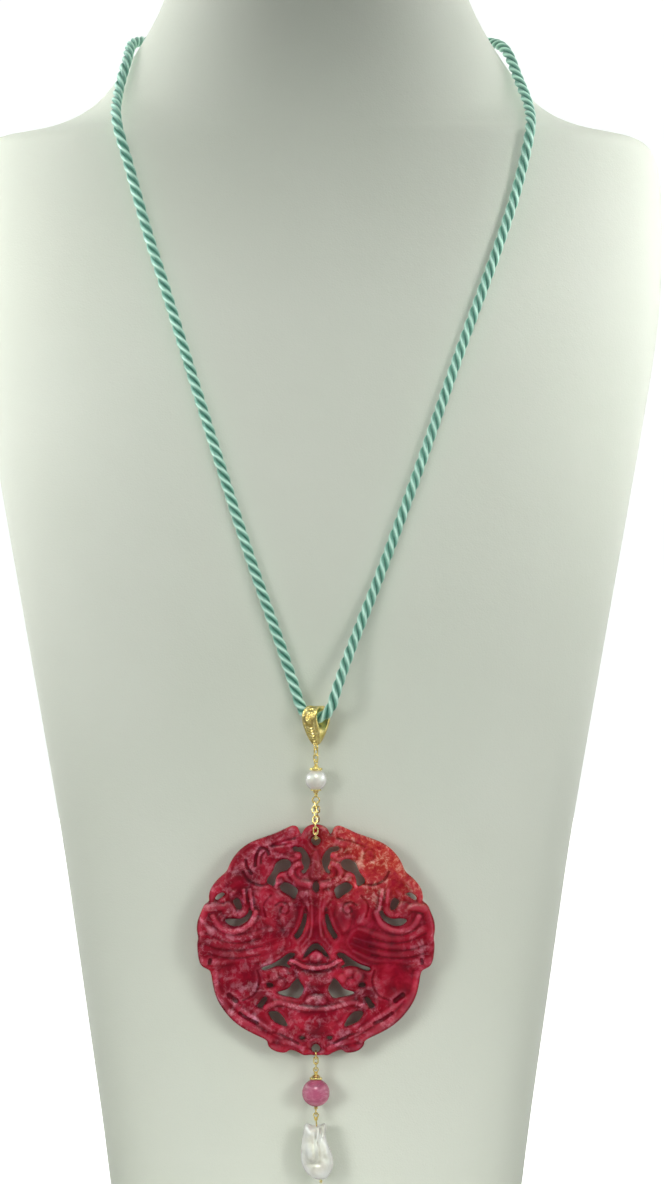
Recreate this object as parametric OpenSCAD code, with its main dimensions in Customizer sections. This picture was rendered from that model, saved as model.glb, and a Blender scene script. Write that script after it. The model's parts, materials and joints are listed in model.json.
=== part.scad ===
// A carved, pierced jade disc on a twisted silk cord, with a gold bail, pearls and a stone bead,
// hung on a plain neck bust. Millimetres, +Z up, the bust's chest faces -Y, and the origin is
// the middle of the bust's flat base.

/* [Neck bust] */
// Width of the shoulders
bust_w = 201.8; // [190:0.2:210]
// Height of the bust
bust_h = 380; // [378:1:390]
// Sides of each section of the bust
bust_sides = 48; // [32:4:64]

/* [Cord] */
// Diameter of the twisted cord
cord_d = 3.1; // [2.6:0.1:3.2]
// Radius of the cord's bend inside the bail, along its middle
cord_bend_r = 6.2; // [6:0.1:7]
// Length of the barrel clasp at the nape
clasp_l = 13; // [12:0.5:14]
// Diameter of the barrel clasp
clasp_d = 4.6; // [4:0.1:4.8]

/* [Bail] */
// Inner radius of the bail's round top, which is also its running radius on the cord
bail_r = 2.55; // [2.5:0.05:2.8]
// Thickness of the bail's strip
bail_wall = 0.75; // [0.6:0.05:0.9]
// Width of the strip at the top
bail_w = 5; // [4.6:0.1:5.4]
// Width of the strip at its lower tip
bail_tip_w = 2.2; // [1.6:0.1:2.6]
// Height of the bail from the middle of its round top to its tip
bail_l = 7.8; // [7.6:0.1:8]
// How far the bail is turned from the front, in degrees
bail_yaw = 38; // [36:1:40]

/* [Jade disc] */
// Thickness of the pierced plate
disc_t = 4; // [3.6:0.1:4.2]
// Height of the carving over the plate, on each face
relief_h = 0.7; // [0.4:0.05:0.75]
// Radius of the hole for the upper chain
top_hole_r = 1.3; // [1.25:0.05:1.4]
// Radius of the hole for the lower ring
low_hole_r = 1.2; // [1.15:0.05:1.25]

/* [Pearls and bead] */
// Diameter of the round pearl
pearl_d = 5.9; // [5.7:0.1:6]
// Diameter of the stone bead
bead_d = 7.8; // [7.4:0.1:7.9]
// Diameter of the wire that each is strung on
pin_d = 0.4; // [0.3:0.05:0.4]

/* [Hidden] */

$fn = 32;
jade = "#A32338";
gold = "#E3B93F";
pearl_white = "#F1EDE6";
pink = "#C4567F";
silk = "#5FB8A0";
leatherette = "#C5CABB";

// The drop hangs plumb on this line, and its bail turns on the cord at this height.
drop_y = -41.3;
bail_z = 145.5;

// Where the pieces of the drop sit.
disc_z = 83.6;
pearl_z = 128.2;
bead_z = 40.6;
// The two holes for metal, over and under the disc's middle.
top_hole_up = 27.6;
low_hole_up = -30.5;
// The straight length in the middle of each hole, from which it widens to both faces.
hole_land = 2;

// The bust's sections: height, half width, front, back, roundness (2 is an ellipse).
BUST = [
    [0, 56.5, -33.5, 21.5, 3],
    [2, 58, -35, 23, 3],
    [10, 59.2, -35.8, 23.6, 3],
    [30, 61.6, -36.3, 24.5, 2.9],
    [60, 66, -37, 25.2, 2.8],
    [84, 69.4, -37.4, 25.8, 2.75],
    [107, 72.7, -37.1, 26.4, 2.7],
    [130, 76.7, -36.3, 27, 2.7],
    [150, 80.3, -35.4, 27.8, 2.7],
    [180, 85.7, -33.6, 29.2, 2.7],
    [210, 91.2, -31.2, 31, 2.7],
    [235, 95.8, -28.6, 33, 2.7],
    [255, 99.2, -26.2, 34.8, 2.7],
    [270, 100.5, -24.4, 36.2, 2.7],
    [288, 100.9, -22.2, 37.8, 2.7],
    [299, 100.5, -20.8, 38.8, 2.7],
    [306, 99.6, -20, 39.2, 2.65],
    [311, 97, -19.4, 39.4, 2.6],
    [313.6, 92, -19, 39.4, 2.55],
    [315.2, 80, -18.7, 39.4, 2.5],
    [318.5, 70.7, -18.2, 39.6, 2.4],
    [322.7, 64.5, -17.6, 39.8, 2.3],
    [327, 60.8, -17.2, 40, 2.25],
    [333, 56.2, -16.8, 40.2, 2.2],
    [340, 51.6, -16.4, 40.4, 2.15],
    [347, 47.6, -16.1, 40.7, 2.1],
    [354, 44.3, -16, 41, 2.1],
    [362, 42.4, -16, 41.2, 2.1],
    [370, 41.6, -16, 41.4, 2.1],
    [bust_h - 2, 41.2, -16, 41.4, 2.1],
    [bust_h, 39.8, -14.6, 40, 2.1]];
bust_widest = 100.9;

// The cord's route from the clasp round the left of the neck to the bail, on the bust's surface.
LEFT_LEG = [
    [-17.3, 41.6, 345.5], [-28.3, 38.3, 345], [-39.6, 33.3, 344.4], [-48.8, 24.4, 343.4],
    [-53.7, 11.8, 341], [-55, 1.6, 334.8], [-57, -5.9, 325.2], [-57, -17.1, 315.5],
    [-53, -20.2, 301], [-48.4, -22.9, 284.5], [-42.9, -25.6, 267.2], [-37.4, -28.1, 249.6],
    [-31.9, -30.3, 232], [-26.3, -32.3, 214.4], [-20.8, -33.9, 197.2], [-15.3, -35.4, 181],
    [-10.2, -36.5, 166.6], [-6, -37.3, 154]];
// From the bail up to the right of the neck and round to the clasp.
RIGHT_LEG = [
    [5.6, -44.2, 153], [8.2, -41.3, 160.5], [11.2, -38.3, 168.5], [17, -35.4, 183],
    [23, -33.7, 199], [29.2, -31.9, 216], [35.3, -29.9, 233.4], [41.2, -27.6, 250.2],
    [47.2, -25.1, 266.4], [52.8, -22.8, 282], [57.4, -20.6, 296.5], [61, -18.5, 312.6],
    [61, -9.4, 320.4], [58.3, 0.2, 329.8], [55.2, 10.2, 339], [50.6, 22.4, 342.8],
    [39.8, 33.2, 344.4], [28.3, 38.3, 345], [17.3, 41.6, 345.5]];
cord_sides = 8;
bend_half = 60;
bend_steps = 2;
// A stretch of the route that is longer than this gets a ring in its middle.
long_stretch = 3 * cord_d;

// The chain's links: half length and half width to the middle of the wire, and the wire's radius.
link_r = 0.19;
ring_r = 0.22;
link_gap = 0.12;
chain_half_l = 1.06;
chain_half_w = 0.6;
short_half_l = 1.1;
short_half_w = 0.7;
low_half_l = 1.01;
low_half_w = 0.6;
// The ring through the lower hole: its middle, half length along Y and half height.
lower_ring_z = 51.25;
lip_half_l = 2.15;
lip_half_h = 1.15;

// One strand of the doubled upper chain: how far to the side, how far out from the disc's
// middle, height, tilt from plumb, turn.
UPPER_CHAIN = [
    [0.36, 0.22, 121.25, 28, 0],
    [0.42, 0.95, 119.87, 28, 90],
    [0.35, 1.68, 118.5, 28, 0],
    [0.25, 2.4, 117.1, 25, 90],
    [0.16, 3.01, 115.65, 16, 0],
    [0.07, 3.32, 114.1, 7, 90],
    [0, 3.42, 112.53, 0, 0]];
hole_link_out = 3.42;
hole_link_z = 111.96;

// The metal over the bail's inner tip, and how far the middle of its soldered ring lies under
// the bail.
bail_tip_t = 1.65;
bail_ring_drop = 0.4;

// The loops of the three pins: radius and the heights of their middles.
loop_r = 0.65;
pearl_loop_top_z = 133.18;
pearl_loop_low_r = 0.95;
pearl_loop_low_z = 122.5;
bead_loop_top_z = 46.99;
bead_loop_low_r = 0.75;
bead_loop_low_z = 35.2;
drop_loop_z = 34.3;
drop_tip = [1.4, 15.8];
tip_ball_r = 0.45;
// How much wider than the wire the drilled holes are, and how far the caps stand off.
bore_play = 0.25;
cap_gap = 0.1;
cap_lip = 0.2;
cap_neck = 0.8;
cap_rise = 1;
// The bead's cap rises to a point, like a cone.
cone_rise = 1.5;
cone_neck = 0.5;
cap_rim = 1.65;
low_cap_rim = 1.5;

// The disc's outline, right half, from the top to the bottom, about the disc's middle.
RIM = [
    [0, 32.4], [3, 31.6], [4.3, 28.6], [4.7, 31], [6, 32], [7.6, 31.5], [11.3, 29.7],
    [14.6, 28.6], [18.1, 27.3], [20.4, 25.9], [22.7, 23.6], [24.1, 21.3], [25, 18.9],
    [26.9, 17.4], [28.5, 15.7], [29.7, 13.8], [30, 12], [29.8, 10.6], [31.3, 9.8],
    [32.3, 7.4], [33.2, 5.2], [33.4, 2.7], [32.9, 0.4], [33.3, -1.2], [32.9, -5.6],
    [32, -7.5], [30.4, -8.3], [29.4, -8.8], [28.7, -13.7], [27.6, -17], [25.7, -20],
    [23.2, -22.8], [20.4, -24.9], [16.9, -26.7], [13.5, -28.2], [13.6, -29.4], [12.4, -30.8],
    [10.5, -31.6], [8.3, -31.7], [7.3, -30.7], [5.3, -31.3], [3.4, -32.5], [1.6, -32.2],
    [0, -32.4]];

// The gaps that are cut through, right half: each is a loop of points.
GAPS = [
    [[3.9, 26], [1.6, 23.1], [1.8, 20.3], [3.3, 18.1], [4.4, 18.9], [3, 19.9], [4.1, 21.5],
        [3.8, 23.3], [4.4, 24.5], [6, 24.5], [6.8, 25.4], [6, 26.1], [5, 25.7]],
    [[6.6, 21.4], [8.3, 22.8], [11.2, 21.7], [12, 18.9], [14.3, 16.2], [12.3, 14.8],
        [11.4, 15.2], [11.3, 17.1], [10.4, 18.7], [7.8, 19.4]],
    [[4.9, 14.3], [8.5, 16.3], [10.3, 15], [9.9, 13.7], [7.6, 12.3], [6, 11], [5.4, 12.4]],
    [[3, 9], [3.8, 5.5], [5, 2.4], [6.3, 1.1], [5.3, -0.3], [3.9, 1.5], [2.7, 4.5], [2.5, 7.3]],
    [[25.2, 12.9], [26.2, 13.2], [27.7, 12.5], [28.4, 11.2], [28, 10.7], [26.2, 11.8]],
    [[21.5, 11.9], [23.5, 11], [22.6, 9], [21.8, 8], [20.4, 8.5]],
    [[18.5, 9], [19.1, 6.9], [21.1, 5.7], [23.9, 5.9], [25.8, 5.7], [24.8, 4.1], [22.5, 3.4],
        [19.7, 4.5], [17.6, 7.1]],
    [[5, -4], [7.3, -3.5], [9.5, -5.2], [12.3, -7], [15.5, -7.9], [15, -8.9], [12.7, -8.2],
        [10.9, -7.5], [8.5, -7.5], [7.4, -8.2], [6.9, -7.5], [8.8, -6.6]],
    [[5, -10.5], [6.7, -12.3], [7.6, -13.7], [9.2, -14.3], [11.3, -14.8], [9.5, -15.7],
        [7.1, -16.2], [5, -16.7], [3.7, -15.1], [3.3, -13.5], [4.5, -11.9]],
    [[11.6, -12.9], [12.6, -11.9], [14, -12.3], [13.6, -13.4], [12.4, -13.5]],
    [[13.3, -16.1], [14.6, -15.8], [16, -17.9], [16.8, -18.8], [15.3, -19.5], [14.3, -18.1]],
    [[10.9, -20], [13.6, -20], [12.7, -22.1], [11.3, -23.5], [7.6, -24.8], [8.5, -22.6],
        [9.7, -20.9]],
    [[2.6, -27.1], [5.3, -27], [3.8, -28.5]]];
// The two gaps that lie on the middle line, over the knob of the ingot and under the scrolls.
MID_GAPS = [
    [[0, 16.8], [1.3, 14.9], [0, 12.3], [-1.3, 14.9]],
    [[0, 0.2], [4, -4.9], [3, -5.2], [1.3, -3.5], [0, -2.7], [-1.3, -3.5], [-3, -5.2],
        [-4, -4.9]]];

// The rounded masses of the carving, right half: across, up, radius.
DOMES = [
    [15.9, 19.2, 4.3],
    [10.6, 6.6, 4.2],
    [21.6, -12.5, 6.2],
    [9.8, -10.4, 2.5],
    [30.8, -5.6, 1.6],
    [27.9, 8.3, 2.4]];

// The raised bands, right half: width at the start, width at the end, then the line it follows.
BANDS = [
    [2.4, 2.4, [[6, 29.6], [11, 27.6], [16, 26], [20, 23.4], [22.4, 19.6]]],
    [2.6, 1.4, [[22.4, 19.6], [24.6, 16.4], [26.2, 14.9], [28.2, 14.2]]],
    [2, 2, [[1.2, 13], [1.2, 8], [1.3, 3], [2.6, -0.4], [4.6, -2.6]]],
    [2.2, 1.6, [[0.2, 17.6], [3.2, 15.8], [6.2, 17.2], [9, 17.4]]],
    [1.6, 1.2, [[5.4, 19.4], [5.2, 21.6], [6, 23.6], [8, 24.6]]],
    [2.6, 1.2, [[5.6, 10], [5.6, 6.8], [6.8, 3.6], [8, 1.4]]],
    [2.4, 1.6, [[31.4, 6], [28.4, 2.6], [23, 1.4], [17, 2.6], [13.4, 3.6]]],
    [2, 1.4, [[32, 1.8], [28, -1], [22, -2], [15, -0.6], [11, 0.6]]],
    [2, 1.4, [[31.6, -2], [27, -4.4], [21, -5], [14, -3.6], [9.6, -1.6]]],
    [2, 2, [[28, -9.4], [27, -14.6], [24.6, -19.4], [20.4, -23.2], [14.6, -26.2], [9, -28.6]]],
    [1.4, 1, [[18.6, -19.6], [15, -21.6], [12.2, -24.8], [8.4, -27.4]]],
    [1.8, 1.2, [[6.4, -9.4], [9.6, -9.4], [12, -10.6], [12, -13]]],
    [1.6, 1.2, [[17.2, 12.6], [19.2, 10.4], [17.2, 8.4]]]];

// The ingot, its block and the winged leaf under it, whole outlines.
INGOT = [
    [-8.3, -5.3], [-4.5, -7.4], [0, -8.1], [4.5, -7.4], [8.3, -5.3], [7, -7.8], [6.1, -10],
    [4.2, -12.6], [2.2, -13.7], [-2.2, -13.7], [-4.2, -12.6], [-6.1, -10], [-7, -7.8]];
BLOCK = [[-3.7, -18.9], [-3.2, -14.9], [3.2, -14.9], [3.7, -18.9]];
LEAF = [
    [0, -19.4], [4, -18.9], [8.6, -17.4], [14.2, -18.9], [9.8, -19.3], [7.4, -22.4],
    [4, -25.6], [0, -26.6], [-4, -25.6], [-7.4, -22.4], [-9.8, -19.3], [-14.2, -18.9],
    [-8.6, -17.4], [-4, -18.9]];
knob_z = -4.9;
knob_r = 2.1;
low_boss_r = 3;
low_boss_up = -29.6;
// How much of each raised round its top takes, and how far the top stands over the relief.
top_part = 0.8;
top_h = 0.35;

// The drop-shaped pearl from its tip up: height, left edge, right edge, half depth, and how far
// the left and right of the ring are lifted, which gives the two horns at its top.
DROP = [
    [16.3, 0.4, 2.2, 0.8, 0],
    [16.7, -0.7, 3, 1.8, 0],
    [17.7, -2.4, 3.9, 3, 0],
    [19.6, -3.7, 4.8, 4, 0],
    [21.5, -4.3, 5.1, 4.2, 0],
    [24.3, -4.35, 4.3, 3.8, 0],
    [26.8, -4, 3.1, 3.2, 0],
    [28.6, -3.7, 2.7, 2.9, 0.2],
    [30.4, -3.4, 2.9, 2.6, 0.6],
    [31.2, -2.6, 2.9, 2, 1.1],
    [31.3, -1.6, 2, 1.3, 0.9],
    [31.1, -0.7, 0.9, 0.7, 0]];
drop_sides = 16;

// A loop of points with each corner cut once, which rounds it.
function eased(p) = [
    for (i = [0:len(p) - 1], s = [0.25, 0.75])
        p[i] * (1 - s) + p[(i + 1) % len(p)] * s];
function flipped(p) = [for (i = [len(p) - 1:-1:0]) [-p[i][0], p[i][1]]];
function unit(v) = v / norm(v);
function across(p, i) = let (d = unit(p[min(i + 1, len(p) - 1)] - p[max(i - 1, 0)]))
    [-d[1], d[0]];
// A band of changing width along a line.
function band(p, w0, w1) = let (n = len(p) - 1) concat(
    [for (i = [0:n]) p[i] + across(p, i) * (w0 + (w1 - w0) * i / n) / 2],
    [for (i = [n:-1:0]) p[i] - across(p, i) * (w0 + (w1 - w0) * i / n) / 2]);

// A smooth line through points: the direction at a point and a place between two points.
function heading(p, i) = let (a = p[max(i - 1, 0)], b = p[min(i + 1, len(p) - 1)], c = p[i])
    (b - a) / (norm(b - c) + norm(c - a));
function between(p, i, s) = let (
    d = norm(p[i + 1] - p[i]), u = heading(p, i) * d, v = heading(p, i + 1) * d)
    p[i] * (2 * s ^ 3 - 3 * s ^ 2 + 1) + u * (s ^ 3 - 2 * s ^ 2 + s)
        + p[i + 1] * (3 * s ^ 2 - 2 * s ^ 3) + v * (s ^ 3 - s ^ 2);
// Stretches longer than the limit are halved.
function smooth_line(p, limit) = concat(
    [for (i = [0:len(p) - 2]) each norm(p[i + 1] - p[i]) > limit
        ? [p[i], between(p, i, 0.5)] : [p[i]]],
    [p[len(p) - 1]]);

// The cord's arc over the bail's axis, in the upright plane that the bail's hole lies along.
function bend_point(a) = [
    cord_bend_r * sin(a) * cos(bail_yaw),
    drop_y - cord_bend_r * sin(a) * sin(bail_yaw),
    bail_z + cord_bend_r * (1 - cos(a))];
bend = [for (k = [-bend_steps:bend_steps]) bend_point(bend_half * k / bend_steps)];
clasp_end = [clasp_l / 2, 43.4, 345.5];
clasp_left = [-clasp_end[0], clasp_end[1], clasp_end[2]];
cord_line = smooth_line(
    concat([clasp_left], LEFT_LEG, bend, RIGHT_LEG, [clasp_end]), long_stretch);

// The cord's directions: it leaves and meets the clasp square to its ends. Each ring's own
// side vector is carried on from the ring before.
function tube_dirs(p) = [for (i = [0:len(p) - 1])
    i == 0 || i == len(p) - 1 ? [-1, 0, 0] : unit(p[i + 1] - p[i - 1])];
function carried(v, t) = unit(v - t * (v * t));
function tube_sides(t) = [
    for (i = 0, v = carried([0, 0, 1], t[0]); i < len(t);
        i = i + 1, v = i < len(t) ? carried(v, t[i]) : v) v];
function ring(c, t, v, r, n) = let (w = cross(t, v))
    [for (k = [0:n - 1]) c + r * (cos(360 * k / n) * v + sin(360 * k / n) * w)];
// The faces of a closed skin over rings of n points each.
function skin(rings, n) = concat(
    [[for (k = [n - 1:-1:0]) k]],
    [for (j = [0:rings - 2], k = [0:n - 1]) [j * n + k, j * n + (k + 1) % n, (j + 1) * n + k]],
    [for (j = [0:rings - 2], k = [0:n - 1])
        [j * n + (k + 1) % n, (j + 1) * n + (k + 1) % n, (j + 1) * n + k]],
    [[for (k = [0:n - 1]) (rings - 1) * n + k]]);

function power(v, e) = sign(v) * abs(v) ^ e;
function bust_ring(row) = [for (k = [0:bust_sides - 1]) let (a = 360 * k / bust_sides) [
    row[1] * bust_w / 2 / bust_widest * power(cos(a), 2 / row[4]),
    (row[2] + row[3]) / 2 + (row[3] - row[2]) / 2 * power(sin(a), 2 / row[4]),
    row[0]]];

module neck_bust() {
    color(leatherette)
        polyhedron([for (row = BUST) each bust_ring(row)], skin(len(BUST), bust_sides), 4);
}

module cord() {
    dirs = tube_dirs(cord_line);
    vs = tube_sides(dirs);
    color(silk)
        polyhedron(
            [for (i = [0:len(cord_line) - 1])
                each ring(cord_line[i], dirs[i], vs[i], cord_d / 2, cord_sides)],
            skin(len(cord_line), cord_sides), 4);
}

module cord_clasp() {
    color(gold) translate([0, clasp_end[1], clasp_end[2]]) rotate([0, 90, 0])
        cylinder(d = clasp_d, h = clasp_l, center = true);
}

// A round wire ring, standing in the XZ plane about its own middle.
module wire_ring(r, wire) {
    rotate([90, 0, 0]) rotate_extrude() translate([r, 0]) circle(wire);
}

// An oval link in the XZ plane: half length and half width are to the middle of its wire.
module oval(half_l, half_w, wire) {
    run = half_l - half_w;
    for (s = [0, 180]) rotate([0, s, 0]) {
        translate([0, 0, run]) rotate([90, 0, 0])
            rotate_extrude(angle = 180) translate([half_w, 0]) circle(wire);
        translate([half_w, 0, -run]) cylinder(r = wire, h = 2 * run);
    }
}

// A gold link of a chain: out from the drop's line, height, tilt outwards and turn on its axis.
module chain_link(x, out, z, tilt, turn, half_l, half_w) {
    color(gold) translate([x, drop_y - out, z]) rotate([-tilt, 0, 0]) rotate([0, 0, 90 - turn])
        oval(half_l, half_w, link_r);
}

// A drop shape with a round top about the origin and its tip below, h long, along X.
module teardrop_bar(r, tip, h) {
    a = asin(r / tip);
    rotate([90, 0, 90]) translate([0, 0, -h / 2]) {
        cylinder(r = r, h = h);
        linear_extrude(h)
            polygon([[-r * cos(a), -r * sin(a)], [0, -tip], [r * cos(a), -r * sin(a)], [0, 0]]);
    }
}

module bail() {
    over = 1;
    top = bail_r + bail_wall;
    inner_tip = bail_l - bail_tip_t;
    color(gold) translate([0, drop_y, bail_z]) rotate([0, 0, -bail_yaw]) {
        intersection() {
            difference() {
                teardrop_bar(top, bail_l, bail_w);
                teardrop_bar(bail_r, inner_tip, bail_w + 2 * over);
            }
            rotate([90, 0, 0]) linear_extrude(4 * top, center = true) polygon([
                [-bail_w / 2 - over, top + over], [bail_w / 2 + over, top + over],
                [bail_w / 2 + over, 0], [bail_w / 2, 0], [bail_tip_w / 2, -bail_l - over],
                [-bail_tip_w / 2, -bail_l - over], [-bail_w / 2, 0], [-bail_w / 2 - over, 0]]);
        }
        translate([0, 0, -bail_l - bail_ring_drop]) wire_ring(loop_r, ring_r);
    }
}

// A wire with a loop at each end, from the middle of one loop to the middle of the other.
module looped_pin(top_z, top_r, low_z, low_r, top_turn, low_turn) {
    translate([0, drop_y, 0]) {
        translate([0, 0, top_z]) rotate([0, 0, top_turn]) wire_ring(top_r, pin_d / 2);
        translate([0, 0, low_z + low_r]) cylinder(d = pin_d, h = top_z - top_r - low_z - low_r);
        translate([0, 0, low_z]) rotate([0, 0, low_turn]) wire_ring(low_r, pin_d / 2);
    }
}

// The two links under the bail, counted from the bail down.
module short_link(k) {
    top = bail_z - bail_l - bail_ring_drop - loop_r + ring_r + link_r + link_gap;
    pitch = 2 * short_half_l - 2 * link_r - link_gap;
    chain_link(0, 0, top - short_half_l - k * pitch, 0, bail_yaw + 90 * k,
        short_half_l, short_half_w);
}

module pearl_pin() {
    color(gold) looped_pin(pearl_loop_top_z, loop_r, pearl_loop_low_z, pearl_loop_low_r,
        90 - bail_yaw, 0);
}

// A shallow gold cap that sits on a ball of radius r, with its rim at radius rim. It rises over
// the ball to a neck.
module bead_cap_on(r, rim, rise, neck) {
    seat = r + cap_gap;
    low = sqrt(seat ^ 2 - rim ^ 2);
    difference() {
        rotate_extrude() polygon([
            [0, low - cap_lip], [rim, low], [rim + cap_lip, low + cap_lip],
            [rim, low + 2 * cap_lip], [neck + 2 * cap_lip, r + rise - 2 * cap_lip],
            [neck, r + rise], [0, r + rise]]);
        sphere(seat);
        cylinder(r = pin_d / 2 + cap_gap, h = 3 * r);
    }
}

module pearl_cap_top() {
    color(gold) translate([0, drop_y, pearl_z])
        bead_cap_on(pearl_d / 2, cap_rim, cap_rise, cap_neck);
}

module pearl_cap_low() {
    color(gold) translate([0, drop_y, pearl_z]) rotate([180, 0, 0])
        bead_cap_on(pearl_d / 2, low_cap_rim, cap_rise, cap_neck);
}

module drilled_ball(d) {
    difference() {
        sphere(d = d, $fn = 64);
        cylinder(d = pin_d + bore_play, h = 2 * d, center = true);
    }
}

module pearl() {
    color(pearl_white) translate([0, drop_y, pearl_z]) drilled_ball(pearl_d);
}

module front_link(row) {
    chain_link(-row[0], row[1], row[2], row[3], row[4], chain_half_l, chain_half_w);
}

module back_link(row) {
    chain_link(row[0], -row[1], row[2], -row[3], row[4], chain_half_l, chain_half_w);
}

// The long link that lies through the disc's upper hole and carries both ends of the chain.
module hole_link() {
    color(gold) translate([0, drop_y, hole_link_z]) rotate([90, 0, 0])
        oval(hole_link_out, chain_half_w, link_r);
}

// One half of the carving's outlines as flat shapes, and its mirror image.
module both_halves() {
    children();
    mirror([1, 0]) children();
}

module plate_shape() {
    polygon(eased(concat(RIM, [for (i = [len(RIM) - 2:-1:1]) [-RIM[i][0], RIM[i][1]]])));
}

module gap_shapes() {
    both_halves() for (g = GAPS) polygon(eased(g));
    for (g = MID_GAPS) polygon(eased(g));
}

module relief_shapes() {
    both_halves() {
        for (b = BANDS) polygon(band(smooth_line(b[2], 0), b[0], b[1]));
        for (d = DOMES) translate([d[0], d[1]]) circle(d[2], $fn = 28);
    }
    polygon(INGOT);
    polygon(BLOCK);
    polygon(eased(LEAF));
    translate([0, low_boss_up]) circle(low_boss_r, $fn = 28);
    translate([0, knob_z]) circle(knob_r, $fn = 28);
}

// The tops of the rounded masses, which stand over the rest of the carving.
module top_shapes() {
    both_halves() for (d = DOMES) translate([d[0], d[1]]) circle(d[2] * top_part);
    translate([0, knob_z]) circle(knob_r * top_part);
}

// One tier of the carving, on both faces, kept inside the plate's outline and out of its gaps.
module tier(h) {
    linear_extrude(disc_t + 2 * h, center = true) difference() {
        intersection() {
            children();
            plate_shape();
        }
        gap_shapes();
    }
}

module jade_disc() {
    color(jade) translate([0, drop_y, disc_z]) rotate([90, 0, 0]) difference() {
        union() {
            tier(0) plate_shape();
            tier(relief_h) relief_shapes();
            tier(relief_h + top_h) top_shapes();
        }
        for (h = [[top_hole_up, top_hole_r], [low_hole_up, low_hole_r]]) translate([0, h[0], 0]) {
            cylinder(r = h[1], h = 3 * disc_t, center = true);
            for (s = [0, 180]) rotate([s, 0, 0]) translate([0, 0, hole_land / 2])
                cylinder(r1 = h[1], r2 = h[1] + disc_t, h = disc_t);
        }
    }
}

// The ring through the lower hole goes round the thinned lip of the disc.
module lower_ring() {
    color(gold) translate([0, drop_y, lower_ring_z]) rotate([90, 0, 90])
        rotate([0, 90, 0]) rotate([0, 0, 90]) oval(lip_half_l, lip_half_h, ring_r);
}

module low_link(k) {
    top = lower_ring_z - lip_half_h + ring_r + link_r + link_gap;
    pitch = 2 * low_half_l - 2 * link_r - link_gap;
    chain_link(0, 0, top - low_half_l - k * pitch, 0, 90 - 90 * k, low_half_l, low_half_w);
}

module bead_pin() {
    color(gold) looped_pin(bead_loop_top_z, loop_r, bead_loop_low_z, bead_loop_low_r, 0, 90);
}

module bead_cap() {
    color(gold) translate([0, drop_y, bead_z])
        bead_cap_on(bead_d / 2, cap_rim, cone_rise, cone_neck);
}

module stone_bead() {
    color(pink) translate([0, drop_y, bead_z]) drilled_ball(bead_d);
}

// The wire of the last pearl leans from its loop to the pearl's tip.
pin_top = [0, drop_loop_z - loop_r];
pin_lean = atan2(drop_tip[0] - pin_top[0], pin_top[1] - drop_tip[1]);
pin_run = norm(drop_tip - pin_top);
module drop_axis(d, past) {
    translate([pin_top[0], drop_y, pin_top[1]]) rotate([0, 180 - pin_lean, 0])
        translate([0, 0, -past]) cylinder(d = d, h = pin_run + 2 * past);
}

module drop_pin() {
    color(gold) {
        translate([0, drop_y, drop_loop_z]) wire_ring(loop_r, pin_d / 2);
        drop_axis(pin_d, 0);
        translate([drop_tip[0], drop_y, drop_tip[1]]) sphere(tip_ball_r);
    }
}

function drop_ring(row) = [for (k = [0:drop_sides - 1]) let (a = 360 * k / drop_sides) [
    (row[1] + row[2]) / 2 + (row[2] - row[1]) / 2 * cos(a),
    drop_y + row[3] * sin(a),
    row[0] + row[4] * cos(a) ^ 2]];

module drop_pearl() {
    color(pearl_white) difference() {
        polyhedron([for (row = DROP) each drop_ring(row)], skin(len(DROP), drop_sides), 4);
        drop_axis(pin_d + bore_play, 3);
    }
}

neck_bust();
cord();
cord_clasp();
bail();
short_link(0);  // short_link_1
short_link(1);  // short_link_2
pearl_pin();
pearl_cap_top();
pearl();
pearl_cap_low();
front_link(UPPER_CHAIN[0]);  // front_link_1
front_link(UPPER_CHAIN[1]);  // front_link_2
front_link(UPPER_CHAIN[2]);  // front_link_3
front_link(UPPER_CHAIN[3]);  // front_link_4
front_link(UPPER_CHAIN[4]);  // front_link_5
front_link(UPPER_CHAIN[5]);  // front_link_6
front_link(UPPER_CHAIN[6]);  // front_link_7
back_link(UPPER_CHAIN[0]);  // back_link_1
back_link(UPPER_CHAIN[1]);  // back_link_2
back_link(UPPER_CHAIN[2]);  // back_link_3
back_link(UPPER_CHAIN[3]);  // back_link_4
back_link(UPPER_CHAIN[4]);  // back_link_5
back_link(UPPER_CHAIN[5]);  // back_link_6
back_link(UPPER_CHAIN[6]);  // back_link_7
hole_link();
jade_disc();
lower_ring();
low_link(0);  // low_link_1
low_link(1);  // low_link_2
bead_pin();
bead_cap();
stone_bead();
drop_pin();
drop_pearl();
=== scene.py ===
# %% [markdown]
# # A carved jade disc on a silk cord
# The piece is a long necklace on a neck bust: a twisted silk cord, a gold bail, two pearls,
# a stone bead and a large round disc that is carved and cut through from both sides. The
# measured model gives every piece its place, and each cell below dresses one of them.

# %% The measured model
import json
import math

import bpy
import numpy as np
from mathutils import Matrix, Vector

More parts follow.
